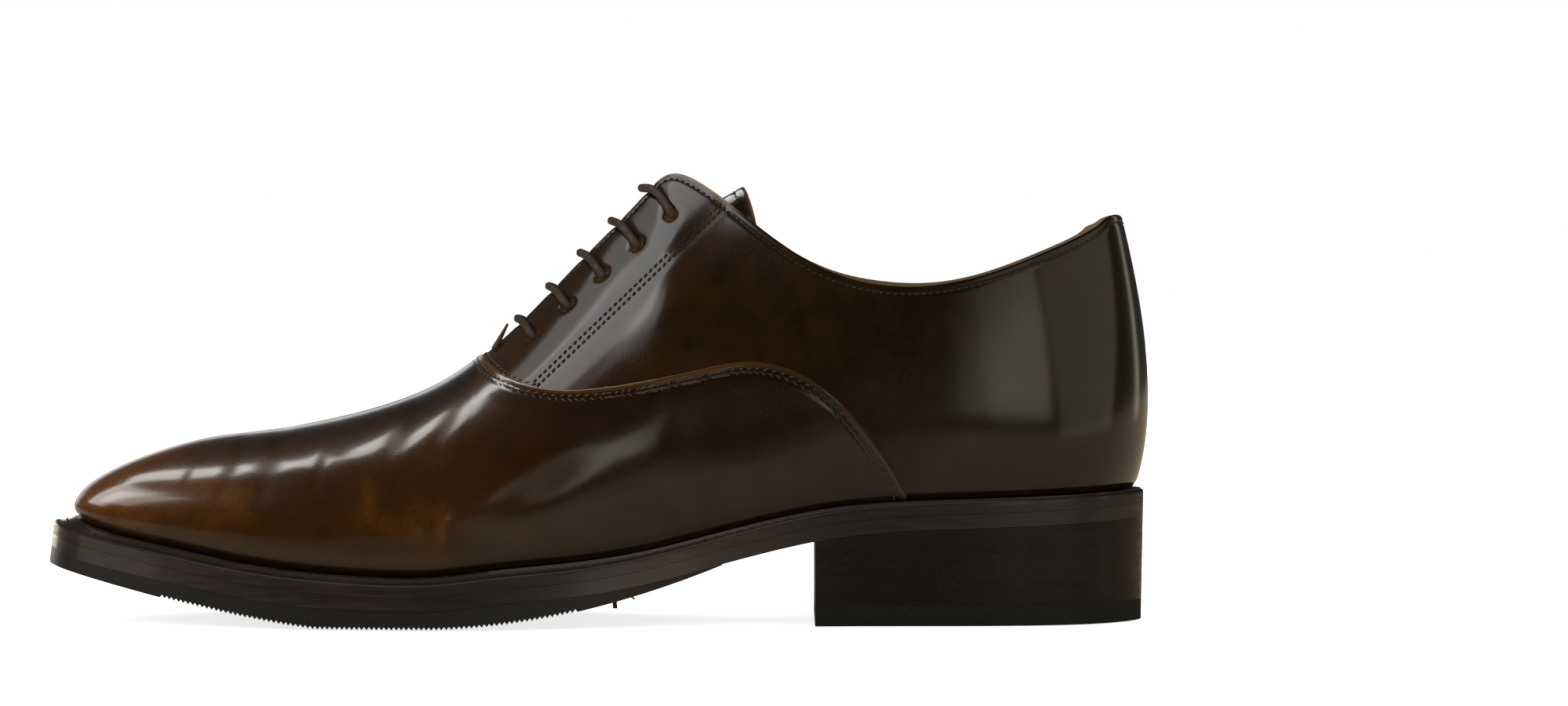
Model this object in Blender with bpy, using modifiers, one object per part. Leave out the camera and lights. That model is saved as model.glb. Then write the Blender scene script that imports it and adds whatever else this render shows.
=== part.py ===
"""Left oxford dress shoe on a raised block heel, built as the separate pieces its maker joins.

The toe points to -X and the heel to +X, the lateral (outer) side faces -Y, and the floor is Z = 0.
Tables and sizes are in millimetres. Meshes are in metres.

A station w runs round the shoe: 0 is the toe, -HEEL..0 the lateral side and 0..HEEL the medial side.
At each station the upper's wall is one cubic curve from its foot on the welt (v = 0) up to the ridge,
the lacing edge or the collar (v = 1).
"""

import math

import bmesh
import bpy
import numpy as np
from mathutils import Vector

MM = 0.001
GAP = 0.3  # clearance between pieces that meet
CENTRE = (-0.4, -1.35, 0.0)  # middle of the shoe on the floor, moved to the origin

# Upper
WALL = 1.7  # quarter leather with its lining
VAMP_STEP = 0.9  # how far the vamp stands proud of the quarters it laps over
VAMP_ROOT = 0.7  # depth to which the vamp's layer is rooted in the wall
MEDIAL_COLLAR_RISE = 1.3  # the collar is higher on the ankle's inner side
COLLAR_RISE_X = 78.0
COLLAR_RISE_REACH = 20.0

# Sole stack
WELT_THICK = 3.6
WELT_TUCK = 6.0  # how far the welt reaches in under the upper
WELT_SHOULDER = 1.6  # level shelf outside the upper's foot
MIDSOLE_THICK = 4.0
TOE_X = -156.4
TOE_SPRING = 16.0
FLAT_FRONT_X, FLAT_BACK_X = -76.0, -46.0  # forefoot's flat spot on the floor
TOE_SPRING_POWER = 1.25
WAIST_POWER = 1.9
RUBBER_END_X, RUBBER_END_Z = 20.0, 11.6  # the forefoot rubber thins out to here
BREAST_X = 60.6
TOP_PIECE_THICK = 5.8
SOLE_DEPTH = 12.4  # from the welt's edge to the tread at the ball
HEEL_DEPTH = 35.5  # from the welt's edge to the floor under the heel

# Insole
INSOLE_INSET = WALL + 1.5
INSOLE_TOE_SETBACK = 9.0
INSOLE_FORE = 3.4
INSOLE_LIFT = 15.0  # extra height hidden under the wearer's heel
LIFT_START_X, LIFT_END_X = -20.0, 100.0

# Lacing
LACE_ROWS = 5
LACE_RADIUS = 1.25
LACE_LIFT = 0.45  # clearance under a bar
HOLE_RADIUS = 1.7
FIRST_BAR_X, LAST_BAR_X = -22.5, 13.3  # where the lowest and top bars cross the lacing edge
FIRST_REACH, LAST_REACH = 5.3, 9.7  # from edge to hole, seen from the side
LACING_SLOPE = math.radians(46.0)

# Tongue
TONGUE_THICK = 2.0

SECTION_COLUMNS = (
    "foot_x", "lateral_y", "medial_y", "top_x", "ridge_y", "top_z", "fan",
    "lateral_lean", "medial_lean", "foot_pull", "drop", "top_pull",
)
# One row for each section, toe to heel. fan is the plan direction of the section (0 forwards, 90 sideways,
# 180 backwards), lean the foot's angle out from upright, drop the top's angle below level, in degrees;
# the pulls are the lengths over which the curve keeps those directions.
SECTIONS = np.array([
    (-147.9, 4.0, 4.0, -106.0, 3.4, 51.1, 0, 36, 36, 10.8, 7, 16.5),
    (-145.6, -5.0, 12.0, -103.0, 3.3, 51.4, 28, 33, 33, 11.4, 6, 17.0),
    (-138.5, -13.4, 18.8, -96.5, 3.1, 52.2, 52, 28, 28, 13.2, 4.5, 18.5),
    (-124.0, -22.6, 27.0, -86.5, 2.8, 53.6, 68, 24, 24, 16.0, 3, 21.0),
    (-104.0, -32.0, 35.4, -74.0, 2.3, 56.1, 78, 23, 23, 20.0, 1.5, 24.0),
    (-81.0, -40.4, 41.6, -60.5, 1.6, 59.7, 85, 24, 24, 24.0, 0, 27.0),
    (-58.0, -45.6, 43.6, -46.5, 0.8, 65.4, 89, 24, 25, 27.0, 3, 28.0),
    (-38.0, -46.6, 40.8, -33.6, 0.2, 74.0, 90, 22, 27, 29.0, 8, 27.0),
    (-21.0, -45.0, 36.0, -20.0, 0.0, 86.4, 90, 20, 29, 31.0, 20, 27.0),
    (-5.0, -42.6, 31.6, -5.0, 0.0, 102.1, 90, 18, 30, 33.0, 33, 28.0),
    (8.0, -40.2, 28.4, 8.0, 0.0, 115.3, 90, 16, 30, 35.0, 43, 30.0),
    (17.0, -38.6, 26.8, 15.8, 0.0, 123.6, 90, 15, 29, 36.0, 48, 32.0),
    (24.0, -37.4, 26.0, 20.6, 0.0, 126.0, 90, 14, 28, 36.0, 52, 32.0),
    (31.0, -36.4, 25.6, 26.0, 0.0, 124.6, 90, 14, 27, 35.0, 58, 31.0),
    (40.0, -35.4, 25.6, 35.2, 0.0, 118.5, 90, 13, 25, 32.0, 64, 29.0),
    (52.0, -34.5, 26.4, 49.0, 0.0, 107.6, 90, 12, 22, 28.0, 70, 27.0),
    (68.0, -33.8, 28.4, 67.0, 0.0, 97.3, 90, 12, 18, 24.0, 76, 24.0),
    (88.0, -33.4, 30.8, 88.0, 0.0, 93.9, 92, 12, 14, 22.0, 82, 22.0),
    (107.0, -33.0, 31.8, 108.0, 0.0, 97.3, 97, 13, 13, 22.0, 83, 23.0),
    (123.0, -30.8, 30.4, 124.5, 0.0, 103.4, 108, 14, 14, 22.0, 82, 25.0),
    (136.0, -25.4, 25.2, 136.6, 0.0, 108.9, 128, 16, 16, 22.0, 79, 27.0),
    (146.0, -15.2, 15.2, 144.6, 0.0, 113.1, 152, 18, 18, 22.0, 77, 28.0),
    (151.5, 0.0, 0.0, 147.6, 0.0, 113.0, 180, 19, 19, 22.0, 76, 28.0),
])
HEEL = len(SECTIONS) - 1
THROAT = 7  # the section where the lacing slit starts
# Half the width of the opening from the throat to the heel, at each section
HALF_OPENING = (0, 1.2, 1.5, 2.0, 2.6, 4.4, 7.8, 13.6, 21.0, 27.2, 30.0, 29.4, 25.0, 17.4, 8.6, 0)

EDGE_COLUMNS = ("x", "edge_z", "margin", "rise", "flare")
# The welt's upper edge along the sole: its height, how far it stands out from the upper's foot, how much
# its top rises to that foot, and the edge's outward slope per mm of drop.
EDGES = np.array([
    (-156.0, 27.4, 7.8, 4.2, 0.115),
    (-148.0, 25.5, 7.3, 3.3, 0.115),
    (-140.0, 23.6, 6.4, 2.4, 0.115),
    (-120.0, 19.7, 5.8, 2.0, 0.115),
    (-100.0, 16.0, 5.5, 1.9, 0.115),
    (-80.0, 13.6, 5.2, 1.8, 0.115),
    (-60.0, 12.4, 5.0, 1.8, 0.115),
    (-45.0, 12.4, 4.9, 1.8, 0.11),
    (-28.0, 14.2, 4.7, 1.8, 0.10),
    (-8.0, 16.1, 4.5, 1.8, 0.085),
    (10.0, 18.8, 4.2, 1.6, 0.065),
    (30.0, 23.6, 3.9, 1.4, 0.04),
    (50.0, 28.7, 3.5, 1.2, 0.0),
    (63.0, 31.4, 3.3, 1.0, -0.02),
    (78.0, 33.3, 3.0, 0.8, -0.02),
    (100.0, 34.4, 2.8, 0.6, -0.02),
    (125.0, 35.3, 2.6, 0.5, -0.02),
    (154.0, 36.7, 2.4, 0.4, -0.02),
])

# The vamp's edge, seen from the side, from the throat round to the welt
VAMP_EDGE_COLUMNS = ("x", "z")
VAMP_EDGE = np.array([
    (-33.6, 75.0), (-27.3, 70.1), (-21.4, 67.2), (-15.6, 65.8), (-8.9, 65.2), (0.0, 65.7),
    (8.7, 66.9), (19.5, 69.0), (30.4, 71.4), (41.2, 73.1), (47.7, 72.7), (54.2, 71.0),
    (60.7, 67.7), (67.2, 62.7), (73.6, 55.4), (80.0, 46.7), (84.5, 39.2), (86.6, 34.4),
])
VAMP_END_RISE = 3.0  # the vamp's tail is closed this far above its foot

TONGUE_COLUMNS = ("x", "z", "radius", "half_width")
# The tongue's outer face: its centre line and the arch across it
TONGUE = np.array([
    (-47.0, 62.6, 40.0, 22.0),
    (-34.0, 70.3, 34.0, 23.0),
    (-20.0, 81.6, 26.0, 24.0),
    (-5.0, 94.7, 20.0, 24.5),
    (8.0, 104.7, 17.0, 24.0),
    (17.0, 109.8, 15.8, 23.5),
    (26.0, 114.4, 15.4, 23.0),
    (34.0, 118.6, 15.2, 22.5),
    (40.5, 122.3, 15.2, 22.0),
])

STEPS_PER_SECTION = 2
WALL_ROWS = 12
VAMP_ROWS = 9
VAMP_FOOT = 0.015  # share of the wall by which the vamp stays clear of the welt
BAR_STEPS = 6
PLATE_STEPS_ACROSS = 3
TONGUE_STEPS_ALONG, TONGUE_STEPS_ACROSS = 14, 12
HOLE_SIDES = 10

# Colour and roughness of each finish
FINISHES = {
    "upper_leather": ((0.055, 0.026, 0.012), 0.22),
    "tongue_leather": ((0.040, 0.026, 0.018), 0.35),
    "insole_lining": ((0.20, 0.12, 0.07), 0.55),
    "welt_leather": ((0.020, 0.014, 0.011), 0.45),
    "midsole_leather": ((0.022, 0.016, 0.013), 0.42),
    "outsole_rubber": ((0.013, 0.013, 0.011), 0.65),
    "heel_leather": ((0.018, 0.012, 0.010), 0.38),
    "heel_rubber": ((0.012, 0.012, 0.011), 0.62),
    "lace_cord": ((0.025, 0.017, 0.012), 0.6),
}


def closed_spline(values):
    """A smooth periodic curve through values at w = -HEEL, -HEEL + 1, ... round the shoe."""
    values = np.asarray(values, float)
    count = len(values)
    bend = 6 * (np.roll(values, 1) - 2 * values + np.roll(values, -1))
    matrix = 4 * np.eye(count) + np.roll(np.eye(count), 1, 0) + np.roll(np.eye(count), -1, 0)
    bend = np.linalg.solve(matrix, bend)

    def at(w):
        place = np.mod(np.asarray(w, float) + HEEL, count)
        low = np.floor(place).astype(int) % count
        high = (low + 1) % count
        right = place - np.floor(place)
        left = 1 - right
        return (
            left * values[low] + right * values[high]
            + ((left**3 - left) * bend[low] + (right**3 - right) * bend[high]) / 6
        )

    return at


def open_spline(places, values):
    """A smooth curve through values at rising places, straight at both ends."""
    places, values = np.asarray(places, float), np.asarray(values, float)
    span = np.diff(places)
    count = len(places)
    matrix, target = np.eye(count), np.zeros(count)
    for i in range(1, count - 1):
        matrix[i, i - 1 : i + 2] = span[i - 1], 2 * (span[i - 1] + span[i]), span[i]
        slopes = np.diff(values[i - 1 : i + 2]) / span[i - 1 : i + 1]
        target[i] = 6 * (slopes[1] - slopes[0])
    bend = np.linalg.solve(matrix, target)

    def at(place):
        place = np.clip(np.asarray(place, float), places[0], places[-1])
        low = np.clip(np.searchsorted(places, place, side="right") - 1, 0, count - 2)
        width = span[low]
        right = (place - places[low]) / width
        left = 1 - right
        return (
            left * values[low] + right * values[low + 1]
            + ((left**3 - left) * bend[low] + (right**3 - right) * bend[low + 1]) * width**2 / 6
        )

    return at


def section_curves():
    """One periodic curve for each thing that the sections give."""
    column = dict(zip(SECTION_COLUMNS, SECTIONS.T))
    stations = np.arange(-HEEL, HEEL)
    row = np.abs(stations)
    curves = {
        name: closed_spline(column[name][row])
        for name in ("foot_x", "top_x", "ridge_y", "top_z", "foot_pull", "drop", "top_pull")
    }
    lateral = stations < 0
    curves["foot_y"] = closed_spline(np.where(lateral, column["lateral_y"][row], column["medial_y"][row]))
    curves["lean"] = closed_spline(np.where(lateral, column["lateral_lean"][row], column["medial_lean"][row]))
    fan = np.radians(column["fan"][row]) * np.sign(stations)
    curves["out_x"] = closed_spline(-np.cos(fan))
    curves["out_y"] = closed_spline(np.sin(fan))
    return curves


CURVE = section_curves()
EDGE = {name: open_spline(EDGES[:, 0], EDGES[:, i]) for i, name in enumerate(EDGE_COLUMNS)}
HALF = open_spline(np.arange(THROAT, HEEL + 1), HALF_OPENING)
VAMP_EDGE_Z = open_spline(VAMP_EDGE[:, 0], VAMP_EDGE[:, 1])


def foot_point(w):
    """The foot of the upper's wall, resting on the welt."""
    x = CURVE["foot_x"](w)
    return np.stack([x, CURVE["foot_y"](w), EDGE["edge_z"](x) + EDGE["rise"](x) + GAP], axis=-1)


def top_point(w):
    """The wall's top: the vamp's ridge up to the throat, then the lacing edge and the collar."""
    x = CURVE["top_x"](w)
    half = np.where(np.abs(w) > THROAT, HALF(np.abs(w)), 0.0)
    rise = MEDIAL_COLLAR_RISE * np.exp(-(((x - COLLAR_RISE_X) / COLLAR_RISE_REACH) ** 2))
    rise = rise * np.where((w > THROAT) & (np.abs(w) < HEEL), 1.0, 0.0)
    return np.stack([x, CURVE["ridge_y"](w) + np.sign(w) * half, CURVE["top_z"](w) + rise], axis=-1)


def wall_point(w, v):
    """A point of the upper's outer surface at station w, from foot (v = 0) to top (v = 1)."""
    w, v = np.broadcast_arrays(np.asarray(w, float), np.asarray(v, float))
    out = np.stack([CURVE["out_x"](w), CURVE["out_y"](w), np.zeros_like(w)], axis=-1)
    out = out / np.linalg.norm(out, axis=-1, keepdims=True)
    up = np.array([0.0, 0.0, 1.0])
    lean, drop = np.radians(CURVE["lean"](w))[..., None], np.radians(CURVE["drop"](w))[..., None]
    foot, top = foot_point(w), top_point(w)
    low = foot + CURVE["foot_pull"](w)[..., None] * (np.sin(lean) * out + np.cos(lean) * up)
    high = top + CURVE["top_pull"](w)[..., None] * (np.cos(drop) * out - np.sin(drop) * up)
    v = v[..., None]
    rest = 1 - v
    return rest**3 * foot + 3 * rest**2 * v * low + 3 * rest * v**2 * high + v**3 * top


def wall_normal(w, v, step=0.01):
    """The outward direction of the upper's surface."""
    v = np.clip(v, step, 1 - 2 * step)
    along = wall_point(np.asarray(w) + step, v) - wall_point(np.asarray(w) - step, v)
    rising = wall_point(w, v + step) - wall_point(w, v - step)
    normal = np.cross(rising, along)
    return normal / np.linalg.norm(normal, axis=-1, keepdims=True)


def vamp_share(w):
    """How far up the wall the vamp reaches at station w: 1 in front of the throat."""
    if abs(w) <= THROAT:
        return 1.0
    rising = np.linspace(0.0, 1.0, 401)
    points = wall_point(np.full_like(rising, w), rising)
    below = points[:, 2] < VAMP_EDGE_Z(points[:, 0])
    return float(rising[below].max()) if below.any() else 0.0


def vamp_end():
    """The last station at which the vamp's edge still stands clear of the welt."""
    for w in np.arange(HEEL, THROAT, -0.05):
        share = vamp_share(w)
        if share and wall_point(w, share)[2] - foot_point(w)[2] > VAMP_END_RISE:
            return w
    return THROAT


def outward(w, step=0.02):
    """The sideways direction out of the foot line, seen from above."""
    along = foot_point(np.asarray(w) + step)[..., :2] - foot_point(np.asarray(w) - step)[..., :2]
    normal = np.stack([-along[..., 1], along[..., 0]], axis=-1)
    return normal / np.linalg.norm(normal, axis=-1, keepdims=True)


def sole_outline(w, grow):
    """The plan outline at stations w, grown outwards from the upper's foot."""
    return foot_point(w)[..., :2] + outward(w) * np.asarray(grow)[..., None]


def edge_outline(w, depth):
    """The sole's edge at a depth below the welt's upper edge."""
    x = CURVE["foot_x"](w)
    return sole_outline(w, EDGE["margin"](x) + EDGE["flare"](x) * depth)


def tread_z(x):
    """The outsole's underside: toe spring, flat spot and the rise into the waist."""
    front = np.clip((FLAT_FRONT_X - x) / (FLAT_FRONT_X - TOE_X), 0, None)
    back = np.clip((x - FLAT_BACK_X) / (RUBBER_END_X - FLAT_BACK_X), 0, None)
    return TOE_SPRING * front**TOE_SPRING_POWER + RUBBER_END_Z * back**WAIST_POWER


def midsole_top(x):
    return EDGE["edge_z"](x) - WELT_THICK - GAP


def midsole_bottom(x):
    return EDGE["edge_z"](x) - WELT_THICK - MIDSOLE_THICK


def insole_bottom(x):
    return EDGE["edge_z"](x) + EDGE["rise"](x) + 2 * GAP


def insole_top(x):
    share = np.clip((x - LIFT_START_X) / (LIFT_END_X - LIFT_START_X), 0, 1)
    lift = INSOLE_LIFT * share**2 * (3 - 2 * share)
    return insole_bottom(x) + INSOLE_FORE + lift


def material(name):
    """The named finish, made once."""
    if name in bpy.data.materials:
        return bpy.data.materials[name]
    made = bpy.data.materials.new(name)
    made.use_nodes = True
    shader = made.node_tree.nodes["Principled BSDF"]
    colour, roughness = FINISHES[name]
    shader.inputs["Base Color"].default_value = (*colour, 1)
    shader.inputs["Roughness"].default_value = roughness
    shader.inputs["Metallic"].default_value = 0.0
    return made


def add_object(name, data, collection, finish=None):
    made = bpy.data.objects.new(name, data)
    collection.objects.link(made)
    if finish:
        data.materials.append(material(finish))
    return made


def to_metres(points):
    return (np.asarray(points, float) - CENTRE) * MM


def mesh_from_grids(name, grids):
    """One mesh from grids of points, welded where they meet."""
    shape = bmesh.new()
    for grid in grids:
        grid = to_metres(grid)
        rows = [[shape.verts.new(point) for point in row] for row in grid]
        for low, high in zip(rows, rows[1:]):
            for i in range(len(low) - 1):
                shape.faces.new((low[i], low[i + 1], high[i + 1], high[i]))
    bmesh.ops.remove_doubles(shape, verts=shape.verts[:], dist=0.002 * MM)
    bmesh.ops.dissolve_degenerate(shape, edges=shape.edges[:], dist=0.002 * MM)
    bmesh.ops.recalc_face_normals(shape, faces=shape.faces[:])
    mesh = bpy.data.meshes.new(name)
    shape.to_mesh(mesh)
    shape.free()
    mesh.shade_smooth()
    mesh.set_sharp_from_angle(angle=math.radians(40))
    return mesh


def add_shell(obj, thickness, offset):
    shell = obj.modifiers.new("wall", "SOLIDIFY")
    shell.thickness = thickness * MM
    shell.offset = offset
    shell.use_even_offset = True


def add_boolean(obj, operation, other):
    step = obj.modifiers.new(operation.lower(), "BOOLEAN")
    step.operation = operation
    step.object = other
    step.solver = "EXACT"


def as_helper(obj):
    obj.hide_render = True
    obj.display_type = "WIRE"
    return obj


def wall_stations(end, closer=()):
    """Evenly spaced stations on both sides out to end, with a few closer ones."""
    inner = np.arange(0, end, 1 / STEPS_PER_SECTION)
    side = np.unique(np.round(np.concatenate([inner, [end], closer]), 4))
    return np.concatenate([-side[:0:-1], side])


def quarters_mesh():
    """The whole upper's outer surface, open at the foot, the lacing slit and the collar."""
    w, v = np.meshgrid(wall_stations(HEEL), np.linspace(0, 1, WALL_ROWS + 1))
    return mesh_from_grids("upper", [wall_point(w, v)])


def vamp_mesh():
    """The vamp's part of that surface, from its foot up to its edge."""
    stations = wall_stations(vamp_end(), THROAT + np.array([0.2, 0.75, 1.25]))
    share = np.array([vamp_share(w) for w in stations])
    v = VAMP_FOOT + np.linspace(0, 1, VAMP_ROWS + 1)[:, None] * (share - VAMP_FOOT)
    return mesh_from_grids("vamp_layer", [wall_point(np.broadcast_to(stations, v.shape), v)])


def locate(x, z, side):
    """The station and height on the wall that show at (x, z) from the side."""
    w, v = np.meshgrid(side * np.linspace(THROAT, THROAT + 7, 281), np.linspace(0.4, 1.0, 241))
    points = wall_point(w, v)
    best = np.argmin((points[..., 0] - x) ** 2 + (points[..., 2] - z) ** 2)
    return w.flat[best], v.flat[best]


def edge_station(x, side):
    """The station whose lacing edge is at x."""
    w = np.linspace(THROAT, THROAT + 5, 501)
    return side * float(np.interp(x, CURVE["top_x"](w), w))


def lace_place(row, side):
    """Where a lacing row leaves its hole and where it crosses the lacing edge, as (w, v) pairs."""
    share = row / (LACE_ROWS - 1)
    edge_x = LAST_BAR_X + (FIRST_BAR_X - LAST_BAR_X) * share
    reach = LAST_REACH + (FIRST_REACH - LAST_REACH) * share
    edge_w = edge_station(edge_x, side)
    edge_z = top_point(edge_w)[2]
    hole = locate(edge_x + reach * math.sin(LACING_SLOPE), edge_z - reach * math.cos(LACING_SLOPE), side)
    return hole, (edge_w, 1.0)


def punch_mesh():
    """Pins that punch the lace holes square through the facings."""
    shape = bmesh.new()
    for row in range(LACE_ROWS):
        for side in (-1, 1):
            (w, v), _ = lace_place(row, side)
            normal = wall_normal(w, v)
            turn = Vector(normal).to_track_quat("Z", "Y").to_matrix()
            pin = bmesh.ops.create_cone(
                shape, cap_ends=True, segments=HOLE_SIDES,
                radius1=HOLE_RADIUS * MM, radius2=HOLE_RADIUS * MM, depth=4 * WALL * MM,
            )
            bmesh.ops.transform(shape, matrix=turn.to_4x4(), verts=pin["verts"])
            centre = to_metres(wall_point(w, v) - normal * WALL / 2)
            bmesh.ops.translate(shape, vec=centre, verts=pin["verts"])
    mesh = bpy.data.meshes.new("lace_punch")
    shape.to_mesh(mesh)
    shape.free()
    return mesh


def bar_route(row):
    """A lace bar's centre line: from hole to hole, lying on both facings and over the slit."""
    halves = []
    for side in (-1, 1):
        hole, edge = lace_place(row, side)
        w = np.linspace(hole[0], edge[0], BAR_STEPS)
        v = np.linspace(hole[1], edge[1], BAR_STEPS)
        halves.append(wall_point(w, v) + wall_normal(w, v) * (LACE_RADIUS + LACE_LIFT))
    lateral, medial = halves
    return np.concatenate([lateral, medial[::-1]])


def cord_curve(name, route):
    """A round cord along a route."""
    curve = bpy.data.curves.new(name, "CURVE")
    curve.dimensions = "3D"
    curve.bevel_depth = LACE_RADIUS * MM
    curve.bevel_resolution = 2
    curve.use_fill_caps = True
    spline = curve.splines.new("POLY")
    spline.points.add(len(route) - 1)
    for point, place in zip(spline.points, to_metres(route)):
        point.co = (*place, 1)
    return curve


def tongue_mesh():
    """The tongue's outer face: an arch carried along its centre line."""
    rows = np.arange(len(TONGUE))
    line = {name: open_spline(rows, TONGUE[:, i]) for i, name in enumerate(TONGUE_COLUMNS)}
    place = np.linspace(0, rows[-1], TONGUE_STEPS_ALONG + 1)[:, None]
    turn = np.linspace(-1, 1, TONGUE_STEPS_ACROSS + 1) * line["half_width"](place) / line["radius"](place)
    step = 0.02
    dx = line["x"](np.minimum(place + step, rows[-1])) - line["x"](np.maximum(place - step, 0))
    dz = line["z"](np.minimum(place + step, rows[-1])) - line["z"](np.maximum(place - step, 0))
    length = np.hypot(dx, dz)
    sink = line["radius"](place) * (1 - np.cos(turn))
    x = line["x"](place) + sink * dz / length
    y = line["radius"](place) * np.sin(turn)
    z = line["z"](place) - sink * dx / length
    return mesh_from_grids("tongue", [np.stack([x, y, z], axis=-1)])


def welt_mesh():
    """The welt's ring: a strip whose top slopes up from its edge to the upper's foot."""
    w = wall_stations(HEEL)
    foot_x = CURVE["foot_x"](w)
    low, high = edge_outline(w, WELT_THICK), edge_outline(w, 0)
    shoulder, inner = sole_outline(w, WELT_SHOULDER + 0 * w), sole_outline(w, -WELT_TUCK + 0 * w)
    heights = (
        (low, EDGE["edge_z"](low[:, 0]) - WELT_THICK),
        (high, EDGE["edge_z"](high[:, 0])),
        (shoulder, EDGE["edge_z"](foot_x) + EDGE["rise"](foot_x)),
        (inner, EDGE["edge_z"](inner[:, 0]) + EDGE["rise"](inner[:, 0])),
        (inner, EDGE["edge_z"](inner[:, 0]) - WELT_THICK),
        (low, EDGE["edge_z"](low[:, 0]) - WELT_THICK),
    )
    return mesh_from_grids("welt", [np.array([np.column_stack(level) for level in heights])])


def plate_mesh(name, stations, bottom, top, front_x=None, back_x=None):
    """A plate between two levels, each an outline (of w) and a height (of x)."""
    grids = []
    for outline, height in (bottom, top):
        sides = outline(-stations), outline(stations)
        across = np.linspace(0, 1, PLATE_STEPS_ACROSS + 1)[:, None]
        grid = sides[0][:, None] * (1 - across) + sides[1][:, None] * across
        if front_x is not None:
            grid[0, :, 0] = front_x
        if back_x is not None:
            grid[-1, :, 0] = back_x
        grids.append(np.dstack([grid, height(grid[..., 0])]))
    low, high = grids
    walls = [np.stack([low[:, i], high[:, i]]) for i in (0, -1)]
    ends = [np.stack([low[i], high[i]]) for i in (0, -1)]
    return mesh_from_grids(name, [low, high, *walls, *ends])


def station_at(x):
    """The station whose foot is at x."""
    w = np.linspace(0, HEEL, 2201)
    return float(np.interp(x, CURVE["foot_x"](w), w))


def side_stations(first, last):
    inner = np.arange(math.ceil(first * STEPS_PER_SECTION) + 1, math.floor(last * STEPS_PER_SECTION))
    return np.concatenate([[first], inner / STEPS_PER_SECTION, [last]])


def add_upper(parts, helpers):
    upper = add_object("upper", quarters_mesh(), parts, "upper_leather")
    add_shell(upper, WALL, -1)
    vamp = as_helper(add_object("vamp_layer", vamp_mesh(), helpers))
    depth = VAMP_STEP + VAMP_ROOT
    add_shell(vamp, depth, (VAMP_STEP - VAMP_ROOT) / depth)
    punch = as_helper(add_object("lace_punch", punch_mesh(), helpers))
    add_boolean(upper, "UNION", vamp)
    add_boolean(upper, "DIFFERENCE", punch)


def add_sole(parts):
    add_object("welt", welt_mesh(), parts, "welt_leather")
    layers = WELT_THICK + MIDSOLE_THICK
    midsole = plate_mesh(
        "midsole", side_stations(0, HEEL),
        (lambda w: edge_outline(w, layers), midsole_bottom),
        (lambda w: edge_outline(w, WELT_THICK + GAP), midsole_top),
    )
    add_object("midsole", midsole, parts, "midsole_leather")
    outsole = plate_mesh(
        "outsole", side_stations(0, station_at(RUBBER_END_X)),
        (lambda w: edge_outline(w, SOLE_DEPTH), tread_z),
        (lambda w: edge_outline(w, layers + GAP), lambda x: midsole_bottom(x) - GAP),
        back_x=RUBBER_END_X,
    )
    add_object("outsole", outsole, parts, "outsole_rubber")
    heel = side_stations(station_at(BREAST_X), HEEL)
    top_piece_z = TOP_PIECE_THICK + GAP
    heel_stack = plate_mesh(
        "heel_stack", heel,
        (lambda w: edge_outline(w, HEEL_DEPTH - top_piece_z), lambda x: 0 * x + top_piece_z),
        (lambda w: edge_outline(w, layers + GAP), lambda x: midsole_bottom(x) - GAP),
        front_x=BREAST_X,
    )
    add_object("heel_stack", heel_stack, parts, "heel_leather")
    heel_top_piece = plate_mesh(
        "heel_top_piece", heel,
        (lambda w: edge_outline(w, HEEL_DEPTH), lambda x: 0 * x),
        (lambda w: edge_outline(w, HEEL_DEPTH - TOP_PIECE_THICK), lambda x: 0 * x + TOP_PIECE_THICK),
        front_x=BREAST_X,
    )
    add_object("heel_top_piece", heel_top_piece, parts, "heel_rubber")


def add_insole(parts):
    front_x = SECTIONS[0, 0] + INSOLE_TOE_SETBACK
    inset = plate_mesh(
        "insole", side_stations(station_at(front_x), HEEL),
        (lambda w: sole_outline(w, -INSOLE_INSET + 0 * w), insole_bottom),
        (lambda w: sole_outline(w, -INSOLE_INSET + 0 * w), insole_top),
        front_x=front_x,
    )
    add_object("insole", inset, parts, "insole_lining")


def add_lacing(parts):
    tongue = add_object("tongue", tongue_mesh(), parts, "tongue_leather")
    add_shell(tongue, TONGUE_THICK, -1)
    for row in range(LACE_ROWS):
        name = f"lace_bar_{row + 1}"
        add_object(name, cord_curve(name, bar_route(row)), parts, "lace_cord")


def main():
    for obj in list(bpy.data.objects):
        bpy.data.objects.remove(obj, do_unlink=True)
    scene = bpy.context.scene.collection
    parts = bpy.data.collections.new("elevator_shoe")
    helpers = bpy.data.collections.new("helpers")
    scene.children.link(parts)
    scene.children.link(helpers)
    add_sole(parts)
    add_upper(parts, helpers)
    add_insole(parts)
    add_lacing(parts)


main()
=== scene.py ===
import math

import bmesh
import bpy
import numpy as np
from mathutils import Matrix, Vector, kdtree


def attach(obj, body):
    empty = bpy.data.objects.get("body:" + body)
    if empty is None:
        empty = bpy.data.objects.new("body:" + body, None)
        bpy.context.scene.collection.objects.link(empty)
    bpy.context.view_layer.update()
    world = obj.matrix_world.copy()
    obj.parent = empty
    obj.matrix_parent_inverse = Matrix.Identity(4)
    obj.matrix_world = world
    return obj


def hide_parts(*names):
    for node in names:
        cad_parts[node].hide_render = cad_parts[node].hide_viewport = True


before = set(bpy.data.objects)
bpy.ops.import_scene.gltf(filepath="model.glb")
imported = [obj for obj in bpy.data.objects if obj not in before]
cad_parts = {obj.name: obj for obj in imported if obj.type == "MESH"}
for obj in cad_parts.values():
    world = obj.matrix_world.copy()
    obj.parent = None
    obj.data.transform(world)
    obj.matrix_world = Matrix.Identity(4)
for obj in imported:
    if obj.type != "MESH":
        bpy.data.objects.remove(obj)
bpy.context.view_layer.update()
print("frame loaded:", len(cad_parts), "solids")

mm = 0.001
shoeShift = np.array([0.4, 1.35, 0.0])  # mm, from the tables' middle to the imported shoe's

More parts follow.
